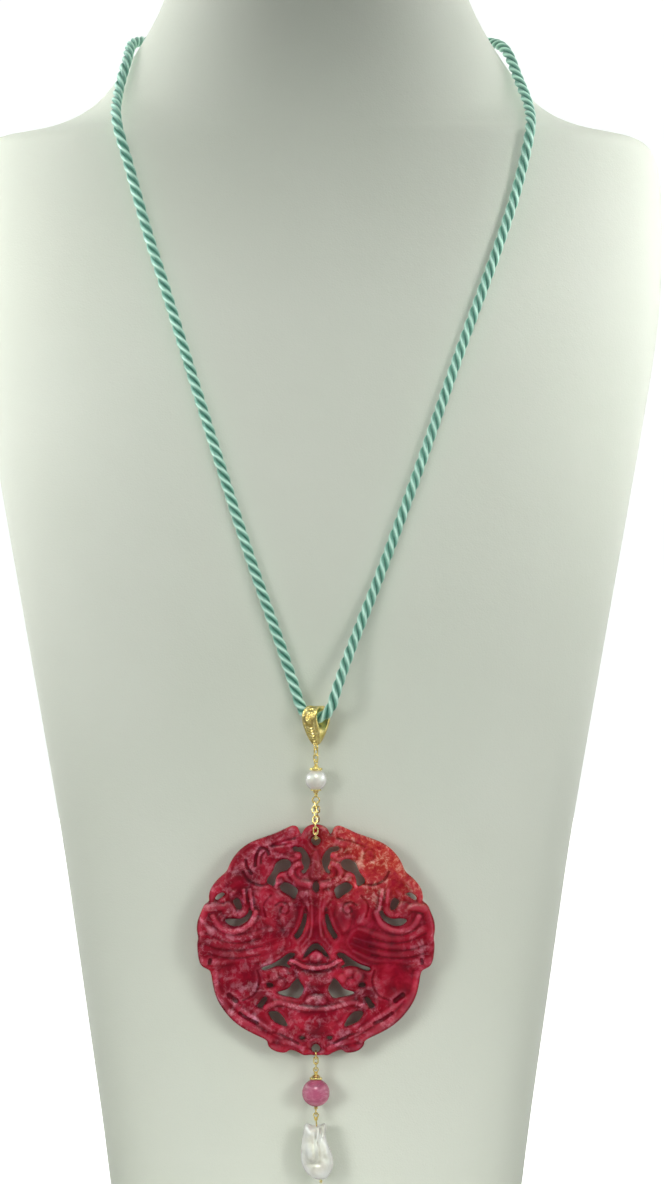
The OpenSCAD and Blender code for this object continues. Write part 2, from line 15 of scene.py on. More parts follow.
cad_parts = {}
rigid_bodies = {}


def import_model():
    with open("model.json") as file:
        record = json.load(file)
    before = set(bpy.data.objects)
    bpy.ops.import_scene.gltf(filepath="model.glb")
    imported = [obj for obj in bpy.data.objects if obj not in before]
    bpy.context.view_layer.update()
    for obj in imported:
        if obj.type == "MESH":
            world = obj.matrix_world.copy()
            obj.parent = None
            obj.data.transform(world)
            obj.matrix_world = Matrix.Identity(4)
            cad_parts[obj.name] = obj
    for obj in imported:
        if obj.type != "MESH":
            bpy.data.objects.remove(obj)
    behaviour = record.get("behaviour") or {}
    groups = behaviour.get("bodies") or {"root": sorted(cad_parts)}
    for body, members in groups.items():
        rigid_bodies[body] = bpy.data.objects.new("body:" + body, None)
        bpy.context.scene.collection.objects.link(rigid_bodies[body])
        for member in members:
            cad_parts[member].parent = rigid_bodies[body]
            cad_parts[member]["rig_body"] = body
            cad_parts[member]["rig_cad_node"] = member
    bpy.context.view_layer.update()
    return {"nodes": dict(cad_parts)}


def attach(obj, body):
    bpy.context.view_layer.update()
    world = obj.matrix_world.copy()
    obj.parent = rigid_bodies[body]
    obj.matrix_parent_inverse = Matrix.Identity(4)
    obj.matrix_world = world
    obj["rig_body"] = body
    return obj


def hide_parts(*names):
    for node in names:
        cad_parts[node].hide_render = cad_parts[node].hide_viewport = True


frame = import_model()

MM = 0.001
nodes = frame["nodes"]

# %% [markdown]
# Colours are picked as a screen shows them, and Blender's shaders want linear light, so one
# function turns one into the other. Another adds a shader node and returns its output, which
# goes straight into the next node's inputs, so that each finish reads as a recipe. In it, names
# with a capital are a node's inputs, as Blender writes them, and the others are its settings.

# %% Colour and nodes


def linear(code):
    """A screen colour such as B02A3A as linear red, green, blue and alpha."""
    parts = [int(code[k:k + 2], 16) / 255 for k in (0, 2, 4)]
    return tuple(p / 12.92 if p <= 0.04045 else ((p + 0.055) / 1.055) ** 2.4 for p in parts) + (1,)


def feed(node, first=(), **inputs):
    """Sets a node's first inputs and named inputs, or joins them to outputs of other nodes."""
    named = {name.replace("_", " "): value for name, value in inputs.items()}
    for key, value in {**dict(enumerate(first)), **named}.items():
        if isinstance(value, bpy.types.NodeSocket):
            node.id_data.links.new(value, node.inputs[key])
        else:
            node.inputs[key].default_value = value


def add(finish, kind, first=(), stops=(), out=None, **named):
    """Adds a node to a finish and returns its first output, or the one that is asked for."""
    made = finish.node_tree.nodes.new("ShaderNode" + kind)
    for name in filter(str.islower, named):
        setattr(made, name, named[name])
    feed(made, first, **{name: named[name] for name in named if name[0].isupper()})
    # A colour ramp starts with two stops, so its two ends come first and the others follow.
    for k, (place, code) in enumerate(stops):
        element = made.color_ramp.elements[k] if k < 2 else made.color_ramp.elements.new(place)
        element.position = place
        element.color = linear(code)
    return made.outputs[out] if out else next(one for one in made.outputs if one.enabled)


def new_finish(name, **values):
    """A material and its Principled shader, with values that are the same all over."""
    made = bpy.data.materials.new(name)
    made.use_nodes = True
    shader = made.node_tree.nodes["Principled BSDF"]
    feed(shader, **values)
    return made, shader


# %% [markdown]
# ## Camera, light and floor
# The photograph looks straight at the bust from the front with a long lens. The camera stands
# 1.2 m before the pendant and level with the picture's middle, and the lens is as long as it
# takes for the picture to be 331.5 mm high there.

# %% Camera
CAMERA_AWAY = 1.2
PENDANT_Y = -0.0413
PICTURE_H = 0.3315
PICTURE_X, PICTURE_Z = 0.0045, 0.1808
SENSOR = 36
bpy.ops.object.camera_add(location=(PICTURE_X, PENDANT_Y - CAMERA_AWAY, PICTURE_Z),
                          rotation=(math.pi / 2, 0, 0))
camera = bpy.context.object
camera.data.sensor_width = SENSOR
camera.data.lens = SENSOR * CAMERA_AWAY / PICTURE_H
camera.data.clip_start = 0.05
bpy.context.scene.camera = camera
bpy.context.scene.view_settings.view_transform = "Standard"
print("lens:", round(camera.data.lens, 1), "mm")

# %% [markdown]
# The picture was taken in a light tent, on a white ground. So white paper lies under the bust
# and far behind it. The paper close by only looks bright, and the paper behind also shines.

# %% White paper
FLOOR_W, FLOOR_BACK = 1.4, 0.06
GROUND_W, GROUND_BACK = 3, 2.2
PAPER_Z = -0.0005
TENT_WHITE = 1.1


def only(piece):
    """Selects one object and nothing else, and makes it the active one."""
    bpy.ops.object.select_all(action="DESELECT")
    piece.select_set(True)
    bpy.context.view_layer.objects.active = piece


def settle(piece, name):
    """Puts an object's place into its mesh, so that the object sits at the origin."""
    only(piece)
    bpy.ops.object.transform_apply(location=True, rotation=True, scale=True)
    piece.name = piece.data.name = name
    return piece


def paper(name, near, far, width, shines, looks):
    """A flat sheet from one y to another, how strongly it shines and how bright it looks."""
    finish, shader = new_finish("white paper " + name, Roughness=0.9, Base_Color=linear("E8E8E6"),
                                Emission_Color=linear("FFFFFF"))
    seen = add(finish, "LightPath", out="Is Camera Ray")
    feed(shader, Emission_Strength=add(finish, "MapRange", Value=seen, To_Min=shines,
                                       To_Max=looks))
    bpy.ops.mesh.primitive_plane_add(size=1, location=(0, (near + far) / 2, PAPER_Z))
    made = bpy.context.object
    made.scale = (width, far - near, 1)
    settle(made, name)
    made.data.materials.append(finish)


paper("floor", FLOOR_BACK - FLOOR_W, FLOOR_BACK, FLOOR_W, 0.0, 0.5)
paper("ground", FLOOR_BACK, GROUND_BACK, GROUND_W, TENT_WHITE, TENT_WHITE)

# %% [markdown]
# Only the tent's far cloth lights the bust. Polished metal and pearl show all of the tent, and
# also the dark opening before the bust, where the camera looks in. To the camera the tent is
# white. So the world's strength depends on the direction and on the kind of ray.

# %% The tent
world = bpy.data.worlds.new("tent")
bpy.context.scene.world = world
world.use_nodes = True
backward = add(world, "SeparateXYZ", Vector=add(world, "TexCoord", out="Generated"), out="Y")
far_cloth = add(world, "MapRange", Value=backward, From_Min=0.4, From_Max=0.6, To_Min=0.06,
                To_Max=TENT_WHITE)
opening = add(world, "MapRange", Value=backward, From_Min=-0.97, From_Max=-0.8, To_Min=0.1,
              To_Max=0.8)
cloth = add(world, "MapRange", Value=add(world, "LightPath", out="Is Glossy Ray"),
            To_Min=far_cloth, To_Max=opening)
tent = add(world, "MapRange", Value=add(world, "LightPath", out="Is Camera Ray"), To_Min=cloth,
           To_Max=TENT_WHITE)
feed(world.node_tree.nodes["Background"], Color=linear("F7FAF8"), Strength=tent)

# %% [markdown]
# The bust is bright on its shoulders and darker at the neck's middle. A key lamp high in front
# throws the cord's shadow down and outwards, low lamps fill in from the front and the sides,
# the rim lamps brighten the edges, and two small ones light the shoulders.

# %% Lamps
# Each lamp: where it stands, where it points, its size across, its spread and its power.
for name, place, aim, across, spread, watts in [
        ("key", (0, -0.72, 0.78), (0, -0.04, 0.07), 0.35, 40, 0.13),
        ("low front", (0, -0.75, 0.16), (0, 0, 0), 0.5, 30, 0.008),
        ("low left", (-0.45, -0.58, 0.16), (0, 0, 0), 0.32, 34, 0.16),
        ("low right", (0.45, -0.58, 0.16), (0, 0, 0), 0.32, 34, 0.141),
        ("right side", (0.45, -0.3, 0.2), (0, 0, 0.12), 0.3, 90, 0.02),
        ("left rim", (-0.5, 0.05, 0.4), (-0.05, 0, 0.33), 0.3, 50, 0.27),
        ("right rim", (0.5, 0.05, 0.4), (0.05, 0, 0.33), 0.3, 50, 0.205),
        ("left shoulder", (-0.4, -0.35, 0.5), (-0.115, -0.02, 0.29), 0.12, 26, 0.06),
        ("right shoulder", (0.4, -0.35, 0.5), (0.115, -0.02, 0.29), 0.12, 26, 0.06)]:
    bpy.ops.object.light_add(type="AREA", location=place)
    lamp = bpy.context.object
    lamp.name = name + " light"
    lamp.data.size = across
    lamp.data.spread = math.radians(spread)
    lamp.data.energy = watts
    # The polished stone would show the low lamps as glare, so reflections leave them out.
    lamp.visible_glossy = not name.startswith("low")
    # In a tent the cord hardly shades the cloth beside it, so the outer lamps cast no shadow.
    lamp.data.use_shadow = "rim" not in name and "shoulder" not in name
    lamp.rotation_euler = (Vector(aim) - Vector(place)).to_track_quat("-Z", "Y").to_euler()

# %% [markdown]
# ## The silk cord
# The cord is three satin strands twisted to the left, 3.1 mm thick over all, and one whole
# turn of a strand takes about 10.7 mm. It runs in one loop from the clasp at the nape, down the
# chest, through the bail and back. The route's points are those of the measured model, and a
# smooth line goes through them.

# %% The cord's route
DROP_Y = PENDANT_Y / MM
BAIL_Z = 145.5
BAIL_TURN = 38
BAIL_YAW = math.radians(BAIL_TURN)
ROUTE_STEP = 0.75
BEND_R = 6.2
CORD_D = 3.1
CLASP_END = (6.5, 43.4, 345.5)
LEFT_LEG = [
    (-17.3, 41.6, 345.5), (-28.3, 38.3, 345), (-39.6, 33.3, 344.4), (-48.8, 24.4, 343.4),
    (-53.7, 11.8, 341), (-55, 1.6, 334.8), (-57, -5.9, 325.2), (-57, -17.1, 315.5),
    (-53, -20.2, 301), (-48.4, -22.9, 284.5), (-42.9, -25.6, 267.2), (-37.4, -28.1, 249.6),
    (-31.9, -30.3, 232), (-26.3, -32.3, 214.4), (-20.8, -33.9, 197.2), (-15.3, -35.4, 181),
    (-10.2, -36.5, 166.6), (-6, -37.3, 154)]
RIGHT_LEG = [
    (5.6, -44.2, 153), (8.2, -41.3, 160.5), (11.2, -38.3, 168.5), (17, -35.4, 183),
    (23, -33.7, 199), (29.2, -31.9, 216), (35.3, -29.9, 233.4), (41.2, -27.6, 250.2),
    (47.2, -25.1, 266.4), (52.8, -22.8, 282), (57.4, -20.6, 296.5), (61, -18.5, 312.6),
    (61, -9.4, 320.4), (58.3, 0.2, 329.8), (55.2, 10.2, 339), (50.6, 22.4, 342.8),
    (39.8, 33.2, 344.4), (28.3, 38.3, 345), (17.3, 41.6, 345.5)]
bend = []
for turn in (-60, -30, 0, 30, 60):
    out = BEND_R * math.sin(math.radians(turn))
    bend.append((out * math.cos(BAIL_YAW), DROP_Y - out * math.sin(BAIL_YAW),
                 BAIL_Z + BEND_R * (1 - math.cos(math.radians(turn)))))
clasp_left = (-CLASP_END[0], *CLASP_END[1:])
route = np.array([clasp_left, *LEFT_LEG, *bend, *RIGHT_LEG, CLASP_END])


def smooth_line(points, step):
    """A smooth line through points, with a new point about every step."""
    points = np.asarray(points, float)
    last = len(points) - 1
    heading = []
    for i in range(last + 1):
        before, after = points[max(i - 1, 0)], points[min(i + 1, last)]
        heading.append((after - before)
                       / (np.linalg.norm(after - points[i]) + np.linalg.norm(points[i] - before)))
    line = []
    for i in range(last):
        gap = np.linalg.norm(points[i + 1] - points[i])
        count = max(1, round(gap / step))
        for s in np.arange(count) / count:
            line.append(points[i] * (2 * s ** 3 - 3 * s ** 2 + 1)
                        + heading[i] * gap * (s ** 3 - 2 * s ** 2 + s)
                        + points[i + 1] * (3 * s ** 2 - 2 * s ** 3)
                        + heading[i + 1] * gap * (s ** 3 - s ** 2))
    line.append(points[last])
    return np.array(line)


middle = smooth_line(route, ROUTE_STEP)
steps = np.linalg.norm(np.diff(middle, axis=0), axis=1)
along = np.concatenate([[0], np.cumsum(steps)])
print("cord:", round(along[-1], 1), "mm long,", len(middle), "rings")

# %% [markdown]
# A strand is a tube that winds round the cord's middle line. A side vector is carried along
# the line without twist, so the winding alone turns the strands. Each strand keeps a map of
# its length and its girth, which the finish uses for the fine silk threads and for the painted
# shade and highlight across each strand.

# %% Three strands
STRAND_R = 0.76
STRAND_OUT = CORD_D / 2 - STRAND_R
LAY = 10.7
STRAND_SIDES = 14


def unit(rows):
    """Rows of vectors, each made one long."""
    return rows / np.linalg.norm(rows, axis=1)[:, None]


way = unit(np.gradient(middle, axis=0))
side = np.zeros_like(middle)
side[0] = (0, 0, 1)
for i in range(1, len(middle)):
    carried = side[i - 1] - way[i] * np.dot(side[i - 1], way[i])
    side[i] = carried / np.linalg.norm(carried)
other = np.cross(way, side)
turns = 2 * np.pi * np.arange(STRAND_SIDES) / STRAND_SIDES

verts, faces, maps = [], [], []
for strand in range(3):
    wind = -2 * np.pi * (along / LAY + strand / 3)
    core = middle + STRAND_OUT * (np.cos(wind)[:, None] * side + np.sin(wind)[:, None] * other)
    run = unit(np.gradient(core, axis=0))
    outward = core - middle
    outward = unit(outward - run * np.sum(outward * run, axis=1)[:, None])
    sideways = np.cross(run, outward)
    rings = (np.cos(turns)[:, None] * outward[:, None]
             + np.sin(turns)[:, None] * sideways[:, None])
    first = len(verts)
    verts += list((core[:, None] + STRAND_R * rings).reshape(-1, 3) * MM)
    for i in range(len(core) - 1):
        for k in range(STRAND_SIDES):
            a, b = first + i * STRAND_SIDES + k, first + i * STRAND_SIDES + (k + 1) % STRAND_SIDES
            faces.append((a, b, b + STRAND_SIDES, a + STRAND_SIDES))
            maps += [(k, along[i]), (k + 1, along[i]), (k + 1, along[i + 1]), (k, along[i + 1])]
    for start, order in ((first, -1), (len(verts) - STRAND_SIDES, 1)):
        faces.append([start + k for k in range(STRAND_SIDES)][::order])
        maps += [(0, 0)] * STRAND_SIDES
cord_mesh = bpy.data.meshes.new("silk_cord")
cord_mesh.from_pydata(verts, [], faces)
cord_map = cord_mesh.uv_layers.new(name="strand")
cord_map.data.foreach_set("uv", (np.array(maps) * (1 / STRAND_SIDES, MM)).ravel())
silk_cord = bpy.data.objects.new("silk_cord", cord_mesh)
bpy.context.scene.collection.objects.link(silk_cord)
only(silk_cord)
bpy.ops.object.shade_smooth()

# %% [markdown]
# Silk has a soft gloss that its fine threads break up. They wind round each strand, so a wave
# that is slanted across the strand's map stands for them, with a ridge about every 0.4 mm. The
# map's girth also paints light and shade on each strand: a painted highlight on its outer
# side, and painted shade, dark green, in the valleys towards the other strands.

# %% Silk
silk, silk_shader = new_finish(
    "twisted mulberry silk", Roughness=0.3, Sheen_Weight=0.3, Sheen_Roughness=0.4,
    Sheen_Tint=linear("BFF2E2"), Specular_IOR_Level=0.7)
strand_map = add(silk, "UVMap", uv_map="strand")
girth = add(silk, "SeparateXYZ", Vector=strand_map, out="X")
# How near a point lies to the strand's side that touches the others: it places the painted shade
# and highlight.
turned_in = add(silk, "MapRange", Value=girth, From_Max=0.5)
turned_back = add(silk, "MapRange", Value=girth, From_Min=1.0, From_Max=0.5)
inward = add(silk, "Math", (turned_in, turned_back), operation="MINIMUM")
stretched = add(silk, "Mapping", Vector=strand_map, Scale=(6, 500, 1))
patches = add(silk, "TexNoise", Vector=stretched, Scale=1.5, Detail=3)
uneven = add(silk, "MapRange", Value=patches, To_Min=-0.12, To_Max=0.12)
shaded = add(silk, "Math", (inward, uneven), operation="ADD")
# Painted highlight on each strand's outer side, and painted shade, dark green, in the valleys
# between strands.
silk_with_painted_shade_and_highlight = add(silk, "ValToRGB", Fac=shaded,
           stops=[(0.04, "C8F2E0"), (0.62, "15503F"), (0.25, "7AB09B"), (0.44, "438A74")])
spread = add(silk, "Mapping", Vector=strand_map, Scale=(1, 420, 1))
threads = add(silk, "TexWave", Vector=spread, Scale=3.2, Distortion=1.2, Detail=2, out="Fac",
              bands_direction="DIAGONAL")
ridges = add(silk, "Bump", Height=threads, Strength=0.6, Distance=0.00006)
feed(silk_shader, Base_Color=silk_with_painted_shade_and_highlight, Normal=ridges)


def finished(piece, finish, node, body="drop"):
    """Gives a piece its finish and its body, and hides the node that it stands for."""
    piece.data.materials.clear()
    piece.data.materials.append(finish)
    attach(piece, body)
    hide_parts(node)
    print(piece.name + ":", len(piece.data.polygons), "faces")


finished(silk_cord, silk, "cord", "display")

# %% [markdown]
# ## The neck bust
# A display bust is a hollow moulded shell that is covered in soft leatherette. The measured
# model has the right form in coarse faces, so a copy of it is merged and subdivided, which
# rounds the form without moving it.

# %% Neck bust
BASE_EDGE_SHARPNESS = 0.8
BASE_Z = 0.0001
SELECT_ALL = (bpy.ops.mesh.select_all, {"action": "SELECT"})


def edit(piece, *steps):
    """Runs editing tools on all of a piece, each given with its settings."""
    only(piece)
    bpy.ops.object.mode_set(mode="EDIT")
    for tool, settings in (SELECT_ALL, *steps):
        tool(**settings)
    bpy.ops.object.mode_set(mode="OBJECT")


def modify(piece, kind, **settings):
    """Adds a modifier and applies it at once."""
    only(piece)
    bpy.ops.object.modifier_add(type=kind)
    modifier = piece.modifiers[-1]
    for key, value in settings.items():
        setattr(modifier, key, value)
    bpy.ops.object.modifier_apply(modifier=modifier.name)


bust = nodes["neck_bust"].copy()
bust.data = bust.data.copy()
bust.parent = None
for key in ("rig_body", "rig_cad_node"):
    if key in bust:
        del bust[key]
bpy.context.scene.collection.objects.link(bust)
bust.name = bust.data.name = "bust_skin"
edit(bust, (bpy.ops.mesh.remove_doubles, {"threshold": 0.000005}), SELECT_ALL,
     (bpy.ops.mesh.dissolve_limited, {"angle_limit": math.radians(0.1)}),
     (bpy.ops.mesh.tris_convert_to_quads,
      {"face_threshold": math.pi, "shape_threshold": math.pi}))
sharpness = bust.data.attributes.new("crease_edge", "FLOAT", "EDGE")
for edge in bust.data.edges:
    if all(bust.data.vertices[v].co.z < BASE_Z for v in edge.vertices):
        sharpness.data[edge.index].value = BASE_EDGE_SHARPNESS
modify(bust, "SUBSURF", levels=2, render_levels=2)
bpy.ops.object.shade_smooth()

# %% [markdown]
# Leatherette is a soft vinyl with a pressed grain of fine cells about 0.7 mm across. It has a
# low gloss that shows most at the edges, where the light grazes it.

# %% Leatherette
leatherette, vinyl = new_finish("pressed vinyl leatherette", Roughness=0.6, Sheen_Weight=0.08,
                                Sheen_Roughness=0.5, Specular_IOR_Level=0.3)
place = add(leatherette, "TexCoord", out="Object")
grain = add(leatherette, "TexVoronoi", Vector=place, Scale=1400, feature="DISTANCE_TO_EDGE")
cells = add(leatherette, "TexNoise", Vector=place, Scale=500, Detail=4)
height = add(leatherette, "Math", (grain, cells), operation="ADD")
pressed = add(leatherette, "Bump", Height=height, Strength=0.22, Distance=0.0002)
cloud = add(leatherette, "TexNoise", Vector=place, Scale=9, Detail=5)
shade = add(leatherette, "ValToRGB", Fac=cloud, stops=[(0.3, "CBD1C2"), (0.7, "D3D8CB")])
feed(vinyl, Base_Color=shade, Normal=pressed)
finished(bust, leatherette, "neck_bust", "display")

# %% [markdown]
# ## The jade disc: the plate
# The real disc is sawn from a slab of dyed jade, and its gaps are drilled and cut with a wire
# before the carving starts. So it starts here as a flat outline with its gaps and its two
# holes for metal, all of them curves that are filled and given a thickness. The outline is
# drawn for the right half alone and mirrored, and each loop's corners are cut twice.

# %% Outline and gaps
DISC_Z = 83.6
HALF_T = 2.0
# Points are given as across and up, in mm from the disc's middle.
RIM = [
    (0, 32.4), (3, 31.6), (4.3, 28.6), (4.7, 31), (6, 32), (7.6, 31.5), (11.3, 29.7),
    (14.6, 28.6), (18.1, 27.3), (20.4, 25.9), (22.7, 23.6), (24.1, 21.3), (25, 18.9),
    (26.9, 17.4), (28.5, 15.7), (29.7, 13.8), (30, 12), (29.8, 10.6), (31.3, 9.8),
    (32.3, 7.4), (33.2, 5.2), (33.4, 2.7), (32.9, 0.4), (33.3, -1.2), (32.9, -5.6),
    (32, -7.5), (30.4, -8.3), (29.4, -8.8), (28.7, -13.7), (27.6, -17), (25.7, -20),
    (23.2, -22.8), (20.4, -24.9), (16.9, -26.7), (13.5, -28.2), (13.6, -29.4), (12.4, -30.8),
    (10.5, -31.6), (8.3, -31.7), (7.3, -30.7), (5.3, -31.3), (3.4, -32.5), (1.6, -32.2),
    (0, -32.4)]
GAPS = [
    [(3.9, 26), (1.6, 23.1), (1.8, 20.3), (3.3, 18.1), (4.4, 18.9), (3, 19.9), (4.1, 21.5),
     (3.8, 23.3), (4.4, 24.5), (6, 24.5), (6.8, 25.4), (6, 26.1), (5, 25.7)],
    [(6.6, 21.4), (8.3, 22.8), (11.2, 21.7), (12, 18.9), (14.3, 16.2), (12.3, 14.8),
     (11.4, 15.2), (11.3, 17.1), (10.4, 18.7), (7.8, 19.4)],
    [(4.9, 14.3), (8.5, 16.3), (10.3, 15), (9.9, 13.7), (7.6, 12.3), (6, 11), (5.4, 12.4)],
    [(3, 9), (3.8, 5.5), (5, 2.4), (6.3, 1.1), (5.3, -0.3), (3.9, 1.5), (2.7, 4.5), (2.5, 7.3)],
    [(25.2, 12.9), (26.2, 13.2), (27.7, 12.5), (28.4, 11.2), (28, 10.7), (26.2, 11.8)],
    [(21.5, 11.9), (23.5, 11), (22.6, 9), (21.8, 8), (20.4, 8.5)],
    [(18.5, 9), (19.1, 6.9), (21.1, 5.7), (23.9, 5.9), (25.8, 5.7), (24.8, 4.1), (22.5, 3.4),
     (19.7, 4.5), (17.6, 7.1)],
    [(5, -4), (7.3, -3.5), (9.5, -5.2), (12.3, -7), (15.5, -7.9), (15, -8.9), (12.7, -8.2),
     (10.9, -7.5), (8.5, -7.5), (7.4, -8.2), (6.9, -7.5), (8.8, -6.6)],
    [(5, -10.5), (6.7, -12.3), (7.6, -13.7), (9.2, -14.3), (11.3, -14.8), (9.5, -15.7),
     (7.1, -16.2), (5, -16.7), (3.7, -15.1), (3.3, -13.5), (4.5, -11.9)],
    [(11.6, -12.9), (12.6, -11.9), (14, -12.3), (13.6, -13.4), (12.4, -13.5)],
    [(13.3, -16.1), (14.6, -15.8), (16, -17.9), (16.8, -18.8), (15.3, -19.5), (14.3, -18.1)],
    [(10.9, -20), (13.6, -20), (12.7, -22.1), (11.3, -23.5), (7.6, -24.8), (8.5, -22.6),
     (9.7, -20.9)],
    [(2.6, -27.1), (5.3, -27), (3.8, -28.5)]]
MID_GAPS = [
    [(0, 16.8), (1.3, 14.9), (0, 12.3), (-1.3, 14.9)],
    [(0, 0.2), (4, -4.9), (3, -5.2), (1.3, -3.5), (0, -2.7), (-1.3, -3.5), (-3, -5.2),
     (-4, -4.9)]]
# The two holes for metal: height over the disc's middle, and radius.
HOLES = [(27.6, 1.3), (-30.5, 1.2)]


def eased(loop, times=2):
    """A closed loop with its corners cut a few times, which rounds them."""
    loop = np.asarray(loop, float)
    for _ in range(times):
        after = np.roll(loop, -1, axis=0)
        loop = np.stack([loop * 0.75 + after * 0.25, loop * 0.25 + after * 0.75], 1).reshape(-1, 2)
    return loop


def flipped(loop):
    """The same loop on the left of the middle line."""
    return [(-across, up) for across, up in loop[::-1]]


def circle(across, up, radius, count=36):
    """A round loop."""
    turns = np.arange(count) * 2 * np.pi / count
    return np.column_stack([across + radius * np.cos(turns), up + radius * np.sin(turns)])


loops = [eased(RIM + flipped(RIM)[1:-1])]
loops += [eased(gap) for gap in GAPS + [flipped(gap) for gap in GAPS] + MID_GAPS]
loops += [circle(0, up, radius) for up, radius in HOLES]
print("loops of the disc:", len(loops))

# %% [markdown]
# Filled curves give long thin faces that can't be carved. A voxel remesh turns the plate into
# an even skin of small squares, about as fine as the marks of a carving point.

# %% The plate in small squares
SQUARE = 0.315
WELD = (bpy.ops.mesh.remove_doubles, {"threshold": 0.000002})
OUTWARDS = (bpy.ops.mesh.normals_make_consistent, {"inside": False})
plate_curve = bpy.data.curves.new("jade_plate", "CURVE")
plate_curve.dimensions = "2D"
plate_curve.fill_mode = "BOTH"
plate_curve.extrude = HALF_T * MM
for loop in loops:
    spline = plate_curve.splines.new("POLY")
    spline.points.add(len(loop) - 1)
    for point, (across, up) in zip(spline.points, loop):
        point.co = (across * MM, up * MM, 0, 1)
    spline.use_cyclic_u = True
jade = bpy.data.objects.new("jade_carving", plate_curve)
bpy.context.scene.collection.objects.link(jade)
only(jade)
bpy.ops.object.convert(target="MESH")
jade = bpy.context.object
jade.rotation_euler = (math.pi / 2, 0, 0)
jade.location = (0, PENDANT_Y, DISC_Z * MM)
settle(jade, "jade_carving")
edit(jade, WELD, OUTWARDS)
modify(jade, "REMESH", mode="VOXEL", voxel_size=SQUARE * MM)
print("jade plate:", len(jade.data.polygons), "squares")

# %% [markdown]
# ## The jade disc: the carving
# The carver works down from both faces with small wheels and rounds every form over. Here each
# form is a stroke: a ridge along a line, a pillow inside a loop, a dome or a groove. Every
# stroke gives a height over the plate, the highest one wins, and the grooves are taken off at
# the end. The strokes are drawn for the right half and used on both.

# %% The strokes
# Ridges: half width at the start and at the end, height, and the line it follows.
RIDGES = [
    (1.0, 1.4, 0.95, [(3, 19.6), (3.4, 21), (5, 21.2), (6.6, 20), (6.9, 18.2), (5.6, 16.4),
                      (3.2, 15.5), (0.8, 15.2)]),
    (1.2, 0.8, 0.9, [(6.2, 15.2), (8, 17), (9.3, 18.3), (10.7, 18), (11.3, 16.5),
                     (11.2, 14.8)]),
    (0.9, 1.1, 0.8, [(4.9, 23.6), (5.6, 22.6), (7.2, 22.4), (9, 23.2), (11, 23.4)]),
    (1.3, 1.3, 0.8, [(5.8, 27.2), (9.5, 26.2), (12.5, 25)]),
    (0.7, 0.6, 0.95, [(18.6, 14), (18.1, 11), (17.8, 8.4)]),
    (0.7, 0.6, 0.95, [(20.2, 13.8), (19.9, 10.5)]),
    (1.7, 0.8, 1.0, [(30.6, 8.6), (28.2, 9), (25.6, 8.9), (23.8, 7.8), (22.6, 6.9)]),
    (1.2, 1.1, 0.95, [(16.8, 7.6), (18.4, 4.4), (21.4, 2.6), (24.8, 2.4), (27.4, 4), (28.8, 6.4)]),
    (1.8, 1.6, 0.8, [(31, 8.8), (31.6, 6), (31.8, 3), (31.2, 0.6)]),
    (1.9, 1.2, 0.79, [(31.2, 3.2), (26, 0.8), (21, 0.2), (15.8, 1.6), (12, 3)]),
    (1.9, 1.2, 0.79, [(31.6, 0.2), (27, -1.5), (21, -1.9), (15.5, -0.8), (10.6, 0.6)]),
    (1.9, 1.3, 0.78, [(31.4, -2.4), (27, -3.9), (21, -4.1), (15, -3), (10, -1)]),
    (1.9, 1.2, 0.77, [(31, -5.2), (27, -6), (21.6, -6.2), (16, -5.4), (10.6, -3)]),
    (1.6, 1.3, 0.85, [(28.2, -9.6), (27.2, -14), (24.6, -19), (20.6, -22.8), (15.4, -26),
                      (12.6, -28)]),
    (1.4, 1.1, 0.8, [(24.6, -15.6), (21.8, -19), (17.6, -21.8), (13.4, -24.8), (9.6, -27.4)]),
    (0.6, 0.9, 1.25, [(8.4, -5.2), (6.2, -6), (3.6, -7.4), (0, -8)]),
    (1.1, 1.0, 0.95, [(14, -18.8), (10.6, -17.6), (7.6, -18.2), (4, -19.2), (0, -19.6)]),
    (1.3, 1.0, 0.8, [(16, -25.4), (11.5, -27.8), (6.6, -29.1), (3.6, -30.4)])]
